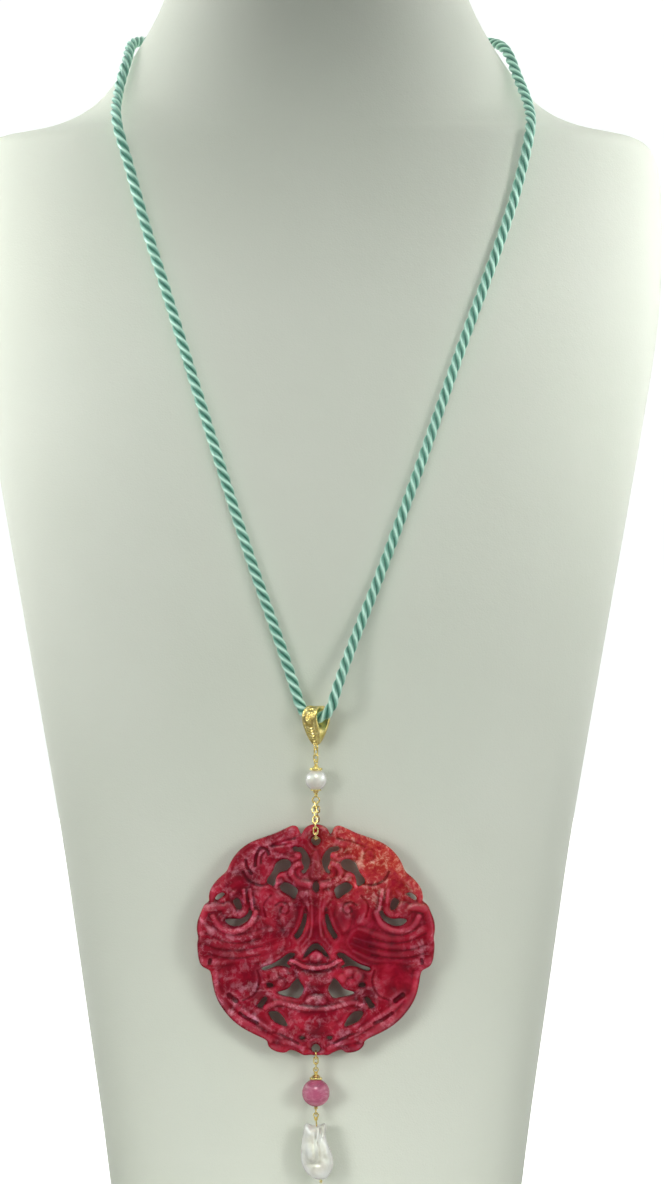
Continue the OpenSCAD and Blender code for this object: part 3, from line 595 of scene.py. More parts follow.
# Pillows: height, how wide their rounded edge is, and the loop.
PILLOWS = [
    (0.9, 3.6, [(4.9, 31.6), (7.6, 31.4), (11.3, 29.6), (14.6, 28.5), (18.1, 27.2),
                (20.4, 25.8), (22.7, 23.5), (24.1, 21.2), (24.9, 18.9), (26.9, 17.3),
                (28.4, 15.6), (29.6, 13.8), (29.9, 12.2), (28.6, 11.3), (27.6, 12.6),
                (26.2, 13.4), (25, 13.2), (24.4, 14.8), (22.2, 15.6), (19.4, 16.8),
                (16.4, 15.2), (14.4, 15.7), (12, 18.4), (11, 21.6), (8.4, 22.8), (7, 25.4),
                (6.2, 26.6), (4.9, 27.4)]),
    (0.75, 1.0, [(-1.2, 25.4), (1.2, 25.4), (1.6, 20.5), (2.2, 16.6), (-2.2, 16.6),
                 (-1.6, 20.5)]),
    (1.0, 4.2, [(10.4, 14), (13, 14.8), (16, 15), (18, 14.4), (18.6, 12), (17.6, 8.5),
                (16.6, 5), (14, 2.8), (11.4, 2.2), (9.6, 3.6), (10, 9), (8.9, 12)]),
    (0.85, 1.4, [(0.25, 14.2), (4.4, 14.4), (5.6, 12.6), (4, 10.2), (2.4, 8), (2.2, 4.5),
                 (2.8, 1.2), (4.6, -1.4), (5.6, -3.2), (3.4, -2.4), (1.6, -0.2), (0.25, 1)]),
    (1.05, 2.4, [(5.6, 11.4), (8.6, 11), (10.6, 8.6), (10.8, 5.2), (9.6, 2.2), (7.8, 1.2),
                 (6.4, 2.2), (5.4, 4.4), (4.4, 7)]),
    (1.0, 3.0, [(-7.2, -6.8), (-3.6, -8.2), (0, -8.6), (3.6, -8.2), (7.2, -6.8), (6.1, -10),
                (4.2, -12.6), (2.2, -13.7), (-2.2, -13.7), (-4.2, -12.6), (-6.1, -10)]),
    (1.0, 1.6, [(-3.7, -18.9), (-3.2, -14.9), (3.2, -14.9), (3.7, -18.9)]),
    (0.85, 2.6, [(0, -19.4), (4, -18.9), (8.6, -17.4), (14.2, -18.9), (9.8, -19.3),
                 (7.4, -22.4), (4, -25.6), (0, -26.6), (-4, -25.6), (-7.4, -22.4),
                 (-9.8, -19.3), (-14.2, -18.9), (-8.6, -17.4), (-4, -18.9)]),
    (0.75, 1.2, [(-2.9, -27), (2.9, -27), (3.3, -31), (-3.3, -31)]),
    (0.85, 2.2, [(21, 15.2), (24.4, 14.4), (25, 12.6), (24.6, 10.4), (23.4, 11.4),
                 (21.6, 12.4)]),
    (0.68, 1.2, [(32, 5), (32.8, 1), (32.6, -4), (30.6, -7.6), (26, -7.6), (21, -7.8),
                 (16, -6.8), (10.2, -4.4), (7.4, -1.2), (8.6, 2.2), (11, 4.2), (15.8, 2.8),
                 (21, 1.6), (26, 2.2)])]
# Domes: across, up, half width, half height of the form, and height over the plate.
DOMES = [
    (0, 28.2, 4.1, 4.1, 0.55), (5.1, 23.7, 1.2, 1.2, 1.0), (15.4, 20.2, 5.2, 5, 1.2),
    (24.4, 8.4, 2.5, 2.5, 1.05), (31.2, -5.9, 1.8, 1.8, 0.95), (20.6, -11.6, 8, 6.6, 1.2),
    (0, -4.4, 2.3, 2.2, 1.2), (0, -22.8, 6.4, 3.9, 1.05), (9.2, -9.4, 1.8, 1.7, 0.9),
    (11.6, -10.2, 1.7, 1.7, 0.95), (9.8, -12, 1.8, 1.7, 0.9), (7.4, -10.8, 1.7, 1.6, 0.9),
    (11, -30, 2.8, 1.5, 0.7)]
# Grooves: half width, depth, side (0 is both), and the line.
GROOVES = [
    (0.5, 0.3, 0, [(6, 28.4), (10, 27.4), (13.5, 26)]),
    (0.45, 0.35, -1, [(-7, 26.9), (-10.5, 26.4), (-12.4, 26.1)]),
    (0.55, 0.4, 0, [(11.2, 19.4), (12.2, 16.6), (15.4, 15.2), (19, 16.6), (20.4, 19)]),
    (0.45, 0.2, 1, [(13.4, 22.8), (14, 25), (15.6, 25.2), (16.5, 23.8), (15.8, 22.3),
                    (14, 22)]),
    (0.65, 0.8, -1, [(-17, 20.8), (-16.6, 23.6), (-15.4, 25.6), (-13.8, 25.2), (-13.2, 24)]),
    (0.6, 0.6, -1, [(-19.6, 22.2), (-19.2, 20.2), (-18, 18.6)]),
    (0.5, 0.5, -1, [(-15.4, 21.5), (-15.2, 23.6), (-14.4, 24.4)]),
    (0.45, 0.3, 0, [(11.4, 9.6), (9.8, 10.5), (8, 9.9), (7.5, 8.3), (8.6, 7.2), (10, 7.9),
                     (9.6, 9)]),
    (0.7, 0.7, 0, [(29.5, -5.7), (29.7, -6.4)]),
    (1.0, 1.0, 0, [(22.4, -17), (24.2, -15.6)]),
    (0.65, 0.9, 0, [(16.4, -23.3), (18.8, -22.2), (21.2, -20.6)]),
    (0.5, 0.4, 0, [(12, -25.8), (8, -27.4), (5, -29)]),
    (0.4, 0.3, 0, [(12.6, 12.4), (14.6, 9.8), (14, 6.4)]),
    (0.4, 0.25, 0, [(2.1, 13.6), (1.6, 9), (1.6, 4), (2.3, 0.6)]),
    (0.4, 0.3, 0, [(16.4, -8.6), (15.8, -11.6), (17.2, -15.2), (20.4, -17)]),
    (0.35, 0.2, 0, [(30.8, 1.8), (26, -0.4), (21, -0.9), (15.5, 0.4)]),
    (0.35, 0.2, 0, [(31, -1.2), (27, -2.7), (21, -3), (15, -1.8)]),
    (0.35, 0.2, 0, [(30, -3.9), (26, -5), (21, -5.1), (15.6, -4.2)])]

# %% [markdown]
# Each stroke is worked out for all the plate's points at once, from how far a point lies from
# a line and whether it lies inside a loop.

# %% Measuring a stroke


def line_distance(line, across, up):
    """How far points are from a line, and how far along it the nearest place is (0 to 1)."""
    line = np.asarray(line, float)
    runs = np.linalg.norm(np.diff(line, axis=0), axis=1)
    before = np.concatenate([[0], np.cumsum(runs)])
    best, at = np.full(across.shape, 1e9), np.zeros(across.shape)
    for k, run in enumerate(runs):
        d = (line[k + 1] - line[k]) / run
        s = np.clip((across - line[k, 0]) * d[0] + (up - line[k, 1]) * d[1], 0, run)
        far = np.hypot(across - line[k, 0] - s * d[0], up - line[k, 1] - s * d[1])
        closer = far < best
        best, at = np.where(closer, far, best), np.where(closer, (before[k] + s) / before[-1], at)
    return best, at


def inside(loop, across, up):
    """Which points lie inside a closed loop."""
    within = np.zeros(across.shape, bool)
    for (x0, y0), (x1, y1) in zip(loop, np.roll(loop, -1, axis=0)):
        crosses = (y0 > up) != (y1 > up)
        with np.errstate(divide="ignore", invalid="ignore"):
            within ^= crosses & (across < x0 + (up - y0) * (x1 - x0) / (y1 - y0))
    return within


def stroke_points(line, reach, across, up):
    """The numbers of the points that lie in the box round a stroke."""
    low, high = np.min(line, axis=0) - reach, np.max(line, axis=0) + reach
    return np.nonzero((across > low[0]) & (across < high[0]) & (up > low[1]) & (up < high[1]))[0]


# %% [markdown]
# The right half's strokes are used on both sides, so a point's distance from the middle line
# counts as its place across. Grooves that belong to one side alone are the exception.

# %% The height of the carving
GROUND_H = 0.4
LINE_STEP = 0.7
RIDGE_FULLNESS, DOME_FULLNESS = 0.8, 0.6


def carved_height(across, up):
    """The height of the carving over the plate at each point."""
    height = np.full(across.shape, GROUND_H)
    folded = np.abs(across)
    for w0, w1, h, line in RIDGES:
        line = smooth_line(line, LINE_STEP)
        near = stroke_points(line, max(w0, w1), folded, up)
        far, at = line_distance(line, folded[near], up[near])
        rise = h * np.clip(1 - (far / (w0 + (w1 - w0) * at)) ** 2, 0, 1) ** RIDGE_FULLNESS
        height[near] = np.maximum(height[near], rise)
    for h, edge, loop in PILLOWS:
        loop = eased(loop)
        near = stroke_points(loop, 0, folded, up)
        near = near[inside(loop, folded[near], up[near])]
        far = line_distance(np.vstack([loop, loop[:1]]), folded[near], up[near])[0]
        rise = h * (1 - (1 - np.clip(far / edge, 0, 1)) ** 2)
        height[near] = np.maximum(height[near], rise)
    for mid, level, half_w, half_h, h in DOMES:
        off = ((folded - mid) / half_w) ** 2 + ((up - level) / half_h) ** 2
        height = np.maximum(height, h * np.clip(1 - off, 0, 1) ** DOME_FULLNESS)
    for w, depth, hand, line in GROOVES:
        line = smooth_line(line, LINE_STEP)
        place = across if hand else folded
        near = stroke_points(line, w, place, up)
        far = line_distance(line, place[near], up[near])[0]
        height[near] -= depth * np.clip(1 - (far / w) ** 2, 0, 1)
    return height


# %% [markdown]
# A point's depth is set by the height at its place, so the sides of the gaps are stretched
# with the faces and stay closed. Edges are rounded over, the hand's unevenness is added, and
# the stone is thinned like a funnel round both holes.

# %% Carving the plate
PLATE_HALF_T = 1.6
EDGE_ROUND = 0.9
EDGE_LOSS = 0.2
HOLE_HALF_T = 1
SLOW_WAVE, FINE_WAVE = 0.07, 0.022


def points_of(piece):
    """A piece's points in mm, as rows of x, y and z."""
    flat = np.empty(len(piece.data.vertices) * 3)
    piece.data.vertices.foreach_get("co", flat)
    return flat.reshape(-1, 3) / MM


def move_points(piece, points):
    """Moves a piece's points to places given in mm."""
    piece.data.vertices.foreach_set("co", (points * MM).ravel())


jade_points = points_of(jade)
across, up = jade_points[:, 0], jade_points[:, 2] - DISC_Z
depth = np.clip((jade_points[:, 1] - DROP_Y) / HALF_T, -1, 1)
relief = carved_height(across, up)
to_edge = np.full(across.shape, 1e9)
for loop in loops:
    closed = np.vstack([loop, loop[:1]])
    near = stroke_points(closed, EDGE_ROUND, across, up)
    to_edge[near] = np.minimum(to_edge[near], line_distance(closed, across[near], up[near])[0])
# Slow waves are about 6 mm long, and fine ones about 2 mm.
slow = np.sin(across * 1.05 + 1.3 * np.sin(up * 0.7)) * np.sin(up * 0.95 + across * 0.2)
fine = np.sin(across * 3.1 + 2 * np.sin(up * 1.9)) * np.sin(up * 2.7 + 1.1)
half = ((PLATE_HALF_T + relief + SLOW_WAVE * slow + FINE_WAVE * fine)
        * (1 - EDGE_LOSS * np.clip(1 - to_edge / EDGE_ROUND, 0, 1) ** 2))
for level, radius in HOLES:
    funnel = HOLE_HALF_T + np.clip(np.hypot(across, up - level) - radius, 0, None)
    half = np.minimum(half, funnel)
jade_points[:, 1] = DROP_Y + depth * half
move_points(jade, jade_points)
modify(jade, "SMOOTH", factor=0.5, iterations=2)
bpy.ops.object.shade_smooth()
print("half thickness:", round(half.min(), 2), "to", round(half.max(), 2), "mm")

# %% [markdown]
# The finish paints highlight on the ridges and shade in the creases, so it has to tell them
# apart. Each point's height is compared with the mean height round it, which comes from
# averaging it with its neighbours again and again. Beside the plate's edges the stone counts
# as lower, so the edges of the gaps get painted shade and a pale rim just inside them.

# %% Ridges and creases
EDGE_DROP, EDGE_REACH = 0.45, 0.7
AVERAGES = 16
CONTRAST = 1.8
ends = np.empty(len(jade.data.edges) * 2, int)
jade.data.edges.foreach_get("vertices", ends)
one, two = ends.reshape(-1, 2).T
formed = relief - EDGE_DROP * np.clip(1 - to_edge / EDGE_REACH, 0, 1)
around = formed.copy()
neighbours = np.bincount(ends, minlength=len(around))
for _ in range(AVERAGES):
    total = (np.bincount(one, around[two], len(around))
             + np.bincount(two, around[one], len(around)))
    around = (around + total / neighbours) / 2
carving = jade.data.attributes.new("carving", "FLOAT", "POINT")
carving.data.foreach_set("value", np.clip(0.5 + CONTRAST * (formed - around), 0, 1))

# %% [markdown]
# Dyed jade takes its crimson unevenly: the dye fills the open grain and leaves paler clouds
# and threads of stone, pink to white, most at the left. The ridges get a painted highlight,
# paler and pinker, and the creases get painted shade. At the upper right the stone is naturally
# warm, coral to cream. It has a soft polish, and red light goes several millimetres into it.

# %% Jade
stone, stone_shader = new_finish(
    "dyed and polished jade", Roughness=0.2, IOR=1.6, Specular_IOR_Level=0.15,
    Subsurface_Weight=0.9, Subsurface_Scale=0.006, Subsurface_Radius=(1.0, 0.12, 0.24))
place = add(stone, "TexCoord", out="Object")
noise = add(stone, "TexNoise", Vector=place, Scale=120, Detail=3, out="Color")
bent = add(stone, "VectorMath", (noise, (0.006, 0.006, 0.006)), operation="MULTIPLY")
warped = add(stone, "VectorMath", (place, bent), operation="ADD")
clouds = add(stone, "TexNoise", Vector=warped, Scale=150, Detail=6, Roughness=0.62)
crimson = add(stone, "ValToRGB", Fac=clouds,
              stops=[(0.34, "6A061B"), (0.66, "B0253C"), (0.5, "8E0E25")])
flecks = add(stone, "TexNoise", Vector=warped, Scale=420, Detail=8, Roughness=0.7)
pale = add(stone, "MapRange", Value=flecks, From_Min=0.49, From_Max=0.76)
large = add(stone, "TexNoise", Vector=place, Scale=60, Detail=2)
across_stone = add(stone, "SeparateXYZ", Vector=place, out="X")
up_stone = add(stone, "SeparateXYZ", Vector=place, out="Z")
leftward = add(stone, "MapRange", Value=across_stone, From_Min=0.03, From_Max=-0.03, To_Min=-0.06,
               To_Max=0.17)
larger = add(stone, "Math", (large, leftward), operation="ADD")
pale_area = add(stone, "MapRange", Value=larger, From_Min=0.38, From_Max=0.62)
height = add(stone, "Attribute", attribute_name="carving", out="Fac")
# Painted highlight: the pale flecks grow stronger on the ridges and weaker in the creases.
wear_and_ridge_highlight = add(stone, "MapRange", Value=height, From_Min=0.5, From_Max=0.85, To_Min=0.45, To_Max=1.3)
pale_with_ridge_highlight = add(stone, "Math", (pale, wear_and_ridge_highlight), operation="MULTIPLY")
pale_share = add(stone, "Math", (pale_with_ridge_highlight, pale_area), operation="MULTIPLY", use_clamp=True)
marbled = add(stone, "Mix", Factor=pale_share, A=crimson, B=linear("EDA8BA"), data_type="RGBA")
warm_x = add(stone, "MapRange", Value=across_stone, From_Min=-0.004, From_Max=0.014)
warm_z = add(stone, "MapRange", Value=up_stone, From_Min=0.09, From_Max=0.105)
warm = add(stone, "Math", (warm_x, warm_z), operation="MULTIPLY")
warm_share = add(stone, "Math", (warm, 0.8), operation="MULTIPLY")
warm_tone = add(stone, "ValToRGB", Fac=flecks,
                stops=[(0.38, "A4202A"), (0.7, "F4D0B0"), (0.52, "C64A38")])
coral = add(stone, "Mix", Factor=warm_share, A=marbled, B=warm_tone, data_type="RGBA")
# Painted highlight: the ridges are mixed towards pale pink.
edges = add(stone, "MapRange", Value=height, From_Min=0.53, From_Max=0.9, To_Max=0.36)
rubbing_and_ridge_highlight = add(stone, "Mix", Factor=edges, A=coral, B=linear("CC6478"), data_type="RGBA")
# Painted shade: the creases get a darker factor, down to 0.46.
painted_crease_shade = add(stone, "MapRange", Value=height, From_Min=0.15, From_Max=0.5, To_Min=0.46,
              To_Max=1.0)
# The colour is multiplied by that factor, which paints shade in the creases.
dyed = add(stone, "Mix", Factor=1.0, A=rubbing_and_ridge_highlight, B=painted_crease_shade, data_type="RGBA", blend_type="MULTIPLY")
feed(stone_shader, Base_Color=dyed)
finished(jade, stone, "jade_disc")

# %% [markdown]
# ## The gold
# The bail, the caps, the pins and the links are brass with a thick gold plate that was polished
# to a mirror. Handled plate is a little rough again, and dark polish stays in the hollows of
# the engraving. The attribute "hollow" says where that is, and it is nothing on plain pieces.

# %% Polished gold plate
gold, gold_shader = new_finish("polished gold plate on brass", Metallic=1.0)
place = add(gold, "TexCoord", out="Object")
handled = add(gold, "TexNoise", Vector=place, Scale=700, Detail=4)
plate = add(gold, "ValToRGB", Fac=handled, stops=[(0.3, "E4CC74"), (0.7, "FAEEAC")])
hollow = add(gold, "Attribute", attribute_name="hollow", out="Fac")
toned = add(gold, "Mix", Factor=hollow, A=plate, B=linear("A08234"), data_type="RGBA")
wear_and_ridge_highlight = add(gold, "MapRange", Value=handled, To_Min=0.16, To_Max=0.34)
scratches = add(gold, "TexNoise", Vector=place, Scale=5000, Detail=3)
rubbing_and_ridge_highlight = add(gold, "Bump", Height=scratches, Strength=0.15, Distance=0.00002)
feed(gold_shader, Base_Color=toned, Roughness=wear_and_ridge_highlight, Normal=rubbing_and_ridge_highlight)
print("gold nodes:", len(gold.node_tree.nodes))

# %% [markdown]
# ## The bail
# A goldsmith makes such a bail from one leaf of sheet: it is sawn out, engraved while it lies
# flat, folded over a rod and soldered at its tips. The same order works here. A flat grid gets
# its leaf shape and a thickness, its upper face is engraved, and then every point is moved to
# its place round the rod.

# %% A flat leaf of sheet gold
BAIL_R = 2.55
SHEET = 0.75
LEAF_W = 4.9
LEAF_TIP_W = 1.2
LEAF_TAPER = 6.6
LEAF_FULLNESS = 1.9
LEAF_EDGE = 0.16
FOLD_R = BAIL_R + SHEET / 2
FOLD_TIP = 6.97
FOLD_LEAN = math.asin(FOLD_R / FOLD_TIP)
FLAT_RUN = FOLD_TIP * math.cos(FOLD_LEAN)
LAP = 0.35
LEAF_L = 2 * (FLAT_RUN + LAP) + FOLD_R * (math.pi + 2 * FOLD_LEAN)


def leaf_half(run):
    """Half the leaf's width at a distance from its end: it fills out quickly from each tip."""
    from_tip = np.clip(np.minimum(run, LEAF_L - run) / LEAF_TAPER, 0, 1)
    filled = np.sqrt(1 - (1 - from_tip) ** LEAF_FULLNESS)
    return (LEAF_TIP_W + (LEAF_W - LEAF_TIP_W) * filled) / 2


# The leaf is drawn with one unit to the millimetre, and folding brings it to its real size.
bpy.ops.mesh.primitive_grid_add(x_subdivisions=46, y_subdivisions=210, size=1)
bail = bpy.context.object
for vertex in bail.data.vertices:
    run = (vertex.co.y + 0.5) * LEAF_L
    vertex.co = (vertex.co.x * 2 * float(leaf_half(run)), run, 0)
modify(bail, "SOLIDIFY", thickness=SHEET, offset=0)
modify(bail, "BEVEL", width=LEAF_EDGE, segments=3, limit_method="ANGLE")
print("leaf:", round(LEAF_L, 1), "mm long,", len(bail.data.polygons), "faces")

# %% [markdown]
# The engraving is lines, scales, a flower and small beads that stand up 0.2 to 0.4 mm. Both
# halves of the leaf carry the same pattern, so it is written for one half, with distances from
# the tip, and used from both ends.

# %% Engraving the leaf
# Lines: half width, height, and the line itself (across, distance from the tip).
LEAF_LINES = [
    (0.2, 0.2, [(0, 1.0), (0.6, 1.3), (0.9, 1.8)]),
    (0.2, 0.2, [(0, 1.8), (0.7, 2.1), (1.3, 2.8)]),
    (0.2, 0.22, [(0, 2.6), (0.8, 2.9), (1.5, 3.7)]),
    (0.2, 0.22, [(0, 3.4), (0.8, 3.7), (1.6, 4.5)]),
    (0.2, 0.22, [(0, 4.2), (0.8, 4.5), (1.7, 5.3)]),
    (0.2, 0.22, [(0, 5.0), (0.8, 5.3), (1.75, 6.2)]),
    (0.2, 0.22, [(1.75, 7.0), (1.5, 8.6), (0.7, 9.5), (0.1, 9.2), (0.5, 8.8)]),
    (0.2, 0.22, [(1.8, 9.0), (1.2, 10.2), (0.4, 10.6), (0, 10.4)]),
    (0.2, 0.2, [(1.9, 10.4), (1.3, 11.4), (0.5, 11.8), (0, 11.7)])]
# The flower: its middle, and how far out its petals lie, their size and height.
FLOWER = (0, 7.3)
PETALS, PETAL_OUT, PETAL_R, PETAL_H = 6, 0.62, 0.34, 0.26
HEART_R, HEART_H = 0.4, 0.4
# The rim line and the row of beads: their way in from the edge, half width and height.
RIM_IN, RIM_W, RIM_H = 0.32, 0.24, 0.22
BEAD_IN, BEAD_W, BEAD_H = 0.78, 0.22, 0.2
BEAD_STEP, BEAD_HALF_L, BEADS_FROM = 0.56, 0.24, 1.6
# Only the sheet's upper face is engraved: how high in the sheet it begins.
FACE_FROM = 0.8


def dome(far, size, high):
    """A round dome's height at distances from its middle."""
    return high * np.sqrt(np.clip(1 - (far / size) ** 2, 0, 1))


def leaf_relief(across, run):
    """How far the engraving stands up at each point of the leaf."""
    from_tip = np.minimum(run, LEAF_L - run)
    side_way = np.abs(across)
    from_edge = leaf_half(run) - side_way
    rise = RIM_H * np.clip(1 - ((from_edge - RIM_IN) / RIM_W) ** 2, 0, 1)
    bead = np.hypot((from_edge - BEAD_IN) / BEAD_W,
                    (np.mod(run, BEAD_STEP) - BEAD_STEP / 2) / BEAD_HALF_L)
    rise = np.maximum(rise, dome(bead, 1, BEAD_H) * (from_tip > BEADS_FROM))
    for w, h, line in LEAF_LINES:
        far = line_distance(smooth_line(line, 0.1), side_way, from_tip)[0]
        rise = np.maximum(rise, h * np.clip(1 - (far / w) ** 2, 0, 1))
    for turn in np.arange(PETALS) * 2 * np.pi / PETALS:
        far = np.hypot(across - FLOWER[0] - PETAL_OUT * math.cos(turn),
                       from_tip - FLOWER[1] - PETAL_OUT * math.sin(turn))
        rise = np.maximum(rise, dome(far, PETAL_R, PETAL_H))
    far = np.hypot(across - FLOWER[0], from_tip - FLOWER[1])
    return np.maximum(rise, dome(far, HEART_R, HEART_H))


flat = points_of(bail) * MM
face_up = np.clip((flat[:, 2] / (SHEET / 2) - FACE_FROM) / (1 - FACE_FROM), 0, 1)
engraved = leaf_relief(flat[:, 0], flat[:, 1])
print("engraved up to", round(engraved.max(), 2), "mm high")

# %% [markdown]
# The fold has three stretches: flat up the front, round the rod, and flat down the back. Each
# point gets an angle round the rod and, on the flat stretches, a distance beyond it. The ring
# that carries the drop is then soldered under the tips.

# %% Folding the leaf
RING_DOWN, RING_R, RING_WIRE = 8.2, 0.65, 0.22
SMOOTH_ANGLE = math.radians(50)
HOLLOW_TONE, HOLLOW_UNDER = 0.6, 0.1
lift = flat[:, 2] + face_up * engraved
run = flat[:, 1] - LAP - FLAT_RUN
turn = np.pi + FOLD_LEAN - np.clip(run / FOLD_R, 0, np.pi + 2 * FOLD_LEAN)
beyond = np.minimum(run, 0) + np.maximum(run - FOLD_R * (np.pi + 2 * FOLD_LEAN), 0)
depth = (FOLD_R + lift) * np.cos(turn) + beyond * np.sin(turn)
high = (FOLD_R + lift) * np.sin(turn) - beyond * np.cos(turn)
yaw_cos, yaw_sin = math.cos(BAIL_YAW), -math.sin(BAIL_YAW)
move_points(bail, np.column_stack([
    flat[:, 0] * yaw_cos - depth * yaw_sin,
    DROP_Y + flat[:, 0] * yaw_sin + depth * yaw_cos,
    BAIL_Z + high]))
hollows = bail.data.attributes.new("hollow", "FLOAT", "POINT")
hollow_share = HOLLOW_TONE * face_up * np.clip(1 - engraved / HOLLOW_UNDER, 0, 1)
hollows.data.foreach_set("value", hollow_share)
edit(bail, OUTWARDS)


def wire_ring(place, turn, radius, wire, segments=32, sides=12):
    """A ring of round wire, its place and sizes in mm."""
    bpy.ops.mesh.primitive_torus_add(
        location=Vector(place) * MM, rotation=turn, major_radius=radius * MM,
        minor_radius=wire * MM, major_segments=segments, minor_segments=sides)
    return bpy.context.object


def joined(parts, name):
    """Several parts as one piece, smooth but for its sharp edges."""
    bpy.ops.object.select_all(action="DESELECT")
    for part in parts:
        part.select_set(True)
    bpy.context.view_layer.objects.active = parts[0]
    bpy.ops.object.join()
    settle(parts[0], name)
    bpy.ops.object.shade_smooth_by_angle(angle=SMOOTH_ANGLE)
    return parts[0]


bail_ring = wire_ring((0, DROP_Y, BAIL_Z - RING_DOWN), (math.pi / 2, 0, -BAIL_YAW), RING_R,
                      RING_WIRE)
finished(joined([bail, bail_ring], "bail_leaf"), gold, "bail")

# %% [markdown]
# ## Caps, pearl and bead
# A cap is spun or pressed from thin sheet, a pearl and a bead are round and drilled through.
# All of them are the same all the way round, so each is turned here as on a lathe: the edge of
# half a section is drawn, and spun once round the wire.

# %% Turned pieces


def turned(name, profile, foot, steps=48, lying=False):
    """A piece turned on a lathe from its closed section as (radius, height), all in mm."""
    bpy.ops.mesh.primitive_circle_add(vertices=len(profile), radius=1)
    made = bpy.context.object
    for vertex, (out, high) in zip(made.data.vertices, profile):
        vertex.co = (out * MM, 0, high * MM)
    edit(made, (bpy.ops.mesh.spin, {"steps": steps, "angle": 2 * math.pi,
                                    "center": (0, 0, 0), "axis": (0, 0, 1)}),
         SELECT_ALL, WELD, OUTWARDS)
    made.location = Vector(foot) * MM
    made.rotation_euler = (0, math.pi / 2 if lying else 0, 0)
    settle(made, name)
    bpy.ops.object.shade_smooth_by_angle(angle=SMOOTH_ANGLE)
    return made


def arc(mid_out, mid_high, radius, start, end, count):
    """Points along a part of a circle in the section, its ends given in degrees."""
    turns = np.radians(np.linspace(start, end, count))
    return [(mid_out + radius * math.cos(t), mid_high + radius * math.sin(t)) for t in turns]


PEARL_FOOT, PEARL_R = (0, DROP_Y, 128.2), 2.95
BEAD_FOOT, BEAD_R = (0, DROP_Y, 40.6), 3.9
BORE_R = 0.325


def drilled(radius):
    """The section of a drilled ball: from one end of the bore round the outside to the other."""
    edge = math.degrees(math.acos(BORE_R / radius))
    return arc(0, 0, radius, -edge, edge, 33) + [(BORE_R, radius * 0.5), (BORE_R, -radius * 0.5)]


pearl_ball = turned("pearl_ball", drilled(PEARL_R), PEARL_FOOT, 64)
bead_ball = turned("bead_ball", drilled(BEAD_R), BEAD_FOOT, 64)
print("balls:", [round(v * 2, 2) for v in (PEARL_R, BEAD_R)], "mm across")

# %% [markdown]
# The pearl's upper cap is a flat flange with a thick rolled rim, which shows as a bright oval,
# and a short neck. The lower one is smaller. The bead's cap is a low cone on a broad band.

# %% Caps
# The pin runs through each cap's own narrow bore.
CAP_BORE = 0.28
flange = (arc(1.5, 3.02, 0.38, -110, 150, 16)
          + [(1.0, 3.3), (0.88, 3.5), (0.8, 3.7), (0.6, 3.84), (CAP_BORE, 3.86),
             (CAP_BORE, 3.04), (0.8, 2.93), (1.1, 2.84)])
small_flange = (arc(1.32, 2.86, 0.2, -110, 140, 12)
                + [(0.95, 3.05), (0.8, 3.3), (0.72, 3.6), (0.55, 3.72), (CAP_BORE, 3.74),
                   (CAP_BORE, 3.04), (0.7, 2.96), (1.0, 2.87)])
cone = (arc(1.62, 3.86, 0.2, -100, 0, 6) + arc(1.6, 4.12, 0.2, 0, 110, 6)
        + [(1.42, 4.34), (1.2, 4.6), (0.95, 4.86), (0.8, 5.02), (0.6, 5.1), (CAP_BORE, 5.12),
           (CAP_BORE, 3.99), (0.8, 3.92), (1.3, 3.78)])
for name, section, foot, node in [
        ("pearl_cap_upper", flange, PEARL_FOOT, "pearl_cap_top"),
        ("pearl_cap_lower", [(out, -high) for out, high in small_flange], PEARL_FOOT,
         "pearl_cap_low"),
        ("bead_cone", cone, BEAD_FOOT, "bead_cap")]:
    finished(turned(name, section, foot), gold, node)

# %% [markdown]
# ## Pearl, bead and pearl drop
# A pearl's colour lies in thin layers over each other, which turn part of the light back and
# give it a faint shimmer of rose and green. The shader's thin film does the same. A soft cloud
# of cream and grey stands for the uneven growth under the lustre.

# %% Pearl
nacre, nacre_shader = new_finish(
    "freshwater pearl nacre", Metallic=0.3, Roughness=0.2, IOR=1.66, Specular_IOR_Level=0.8,
    Coat_Weight=0.8, Coat_Roughness=0.1, Subsurface_Weight=0.15, Subsurface_Scale=0.001,
    Subsurface_Radius=(1.0, 0.8, 0.7), Thin_Film_Thickness=380, Thin_Film_IOR=1.45)
place = add(nacre, "TexCoord", out="Object")
growth = add(nacre, "TexNoise", Vector=place, Scale=260, Detail=4, Distortion=0.6)
layers = add(nacre, "ValToRGB", Fac=growth,
             stops=[(0.32, "D6D1C4"), (0.66, "FAF7F0"), (0.5, "EDE9DF")])
skin_marks = add(nacre, "TexNoise", Vector=place, Scale=900, Detail=3)
skin = add(nacre, "Bump", Height=skin_marks, Strength=0.12, Distance=0.0002)
feed(nacre_shader, Base_Color=layers, Normal=skin)
finished(pearl_ball, nacre, "pearl")

# %% [markdown]
# The bead is a pink stone, such as rhodonite or dyed quartz: milky pink clouds in a deeper
# rose, cut round and polished to a glassy gloss. The clouds lie in stretched bands.

# %% Pink stone
pink_stone, pink_shader = new_finish(
    "polished pink stone", Roughness=0.12, IOR=1.62, Subsurface_Weight=0.15,
    Subsurface_Scale=0.0015, Subsurface_Radius=(1.0, 0.5, 0.6), Coat_Weight=0.3,
    Coat_Roughness=0.03)
place = add(pink_stone, "TexCoord", out="Object")
banded = add(pink_stone, "Mapping", Vector=place, Scale=(1, 1, 2.4), Rotation=(0.4, 0.3, 0))
milk = add(pink_stone, "TexNoise", Vector=banded, Scale=230, Detail=5, Roughness=0.6,
           Distortion=1.2)
rose = add(pink_stone, "ValToRGB", Fac=milk,
           stops=[(0.3, "9C4463"), (0.72, "D193A9"), (0.5, "B55877")])
feed(pink_shader, Base_Color=rose)
finished(bead_ball, pink_stone, "stone_bead")

# %% [markdown]
# The last pearl is a natural drop, no two alike: broad and round below, drawn in at its waist,
# with two small horns at its top and a fold down its front. It is built ring by ring from its
# tip up, as the measured model is: a circle is extruded, and each new ring takes its shape from
# the table. Two subdivisions smooth it, and then the folds are pressed in.

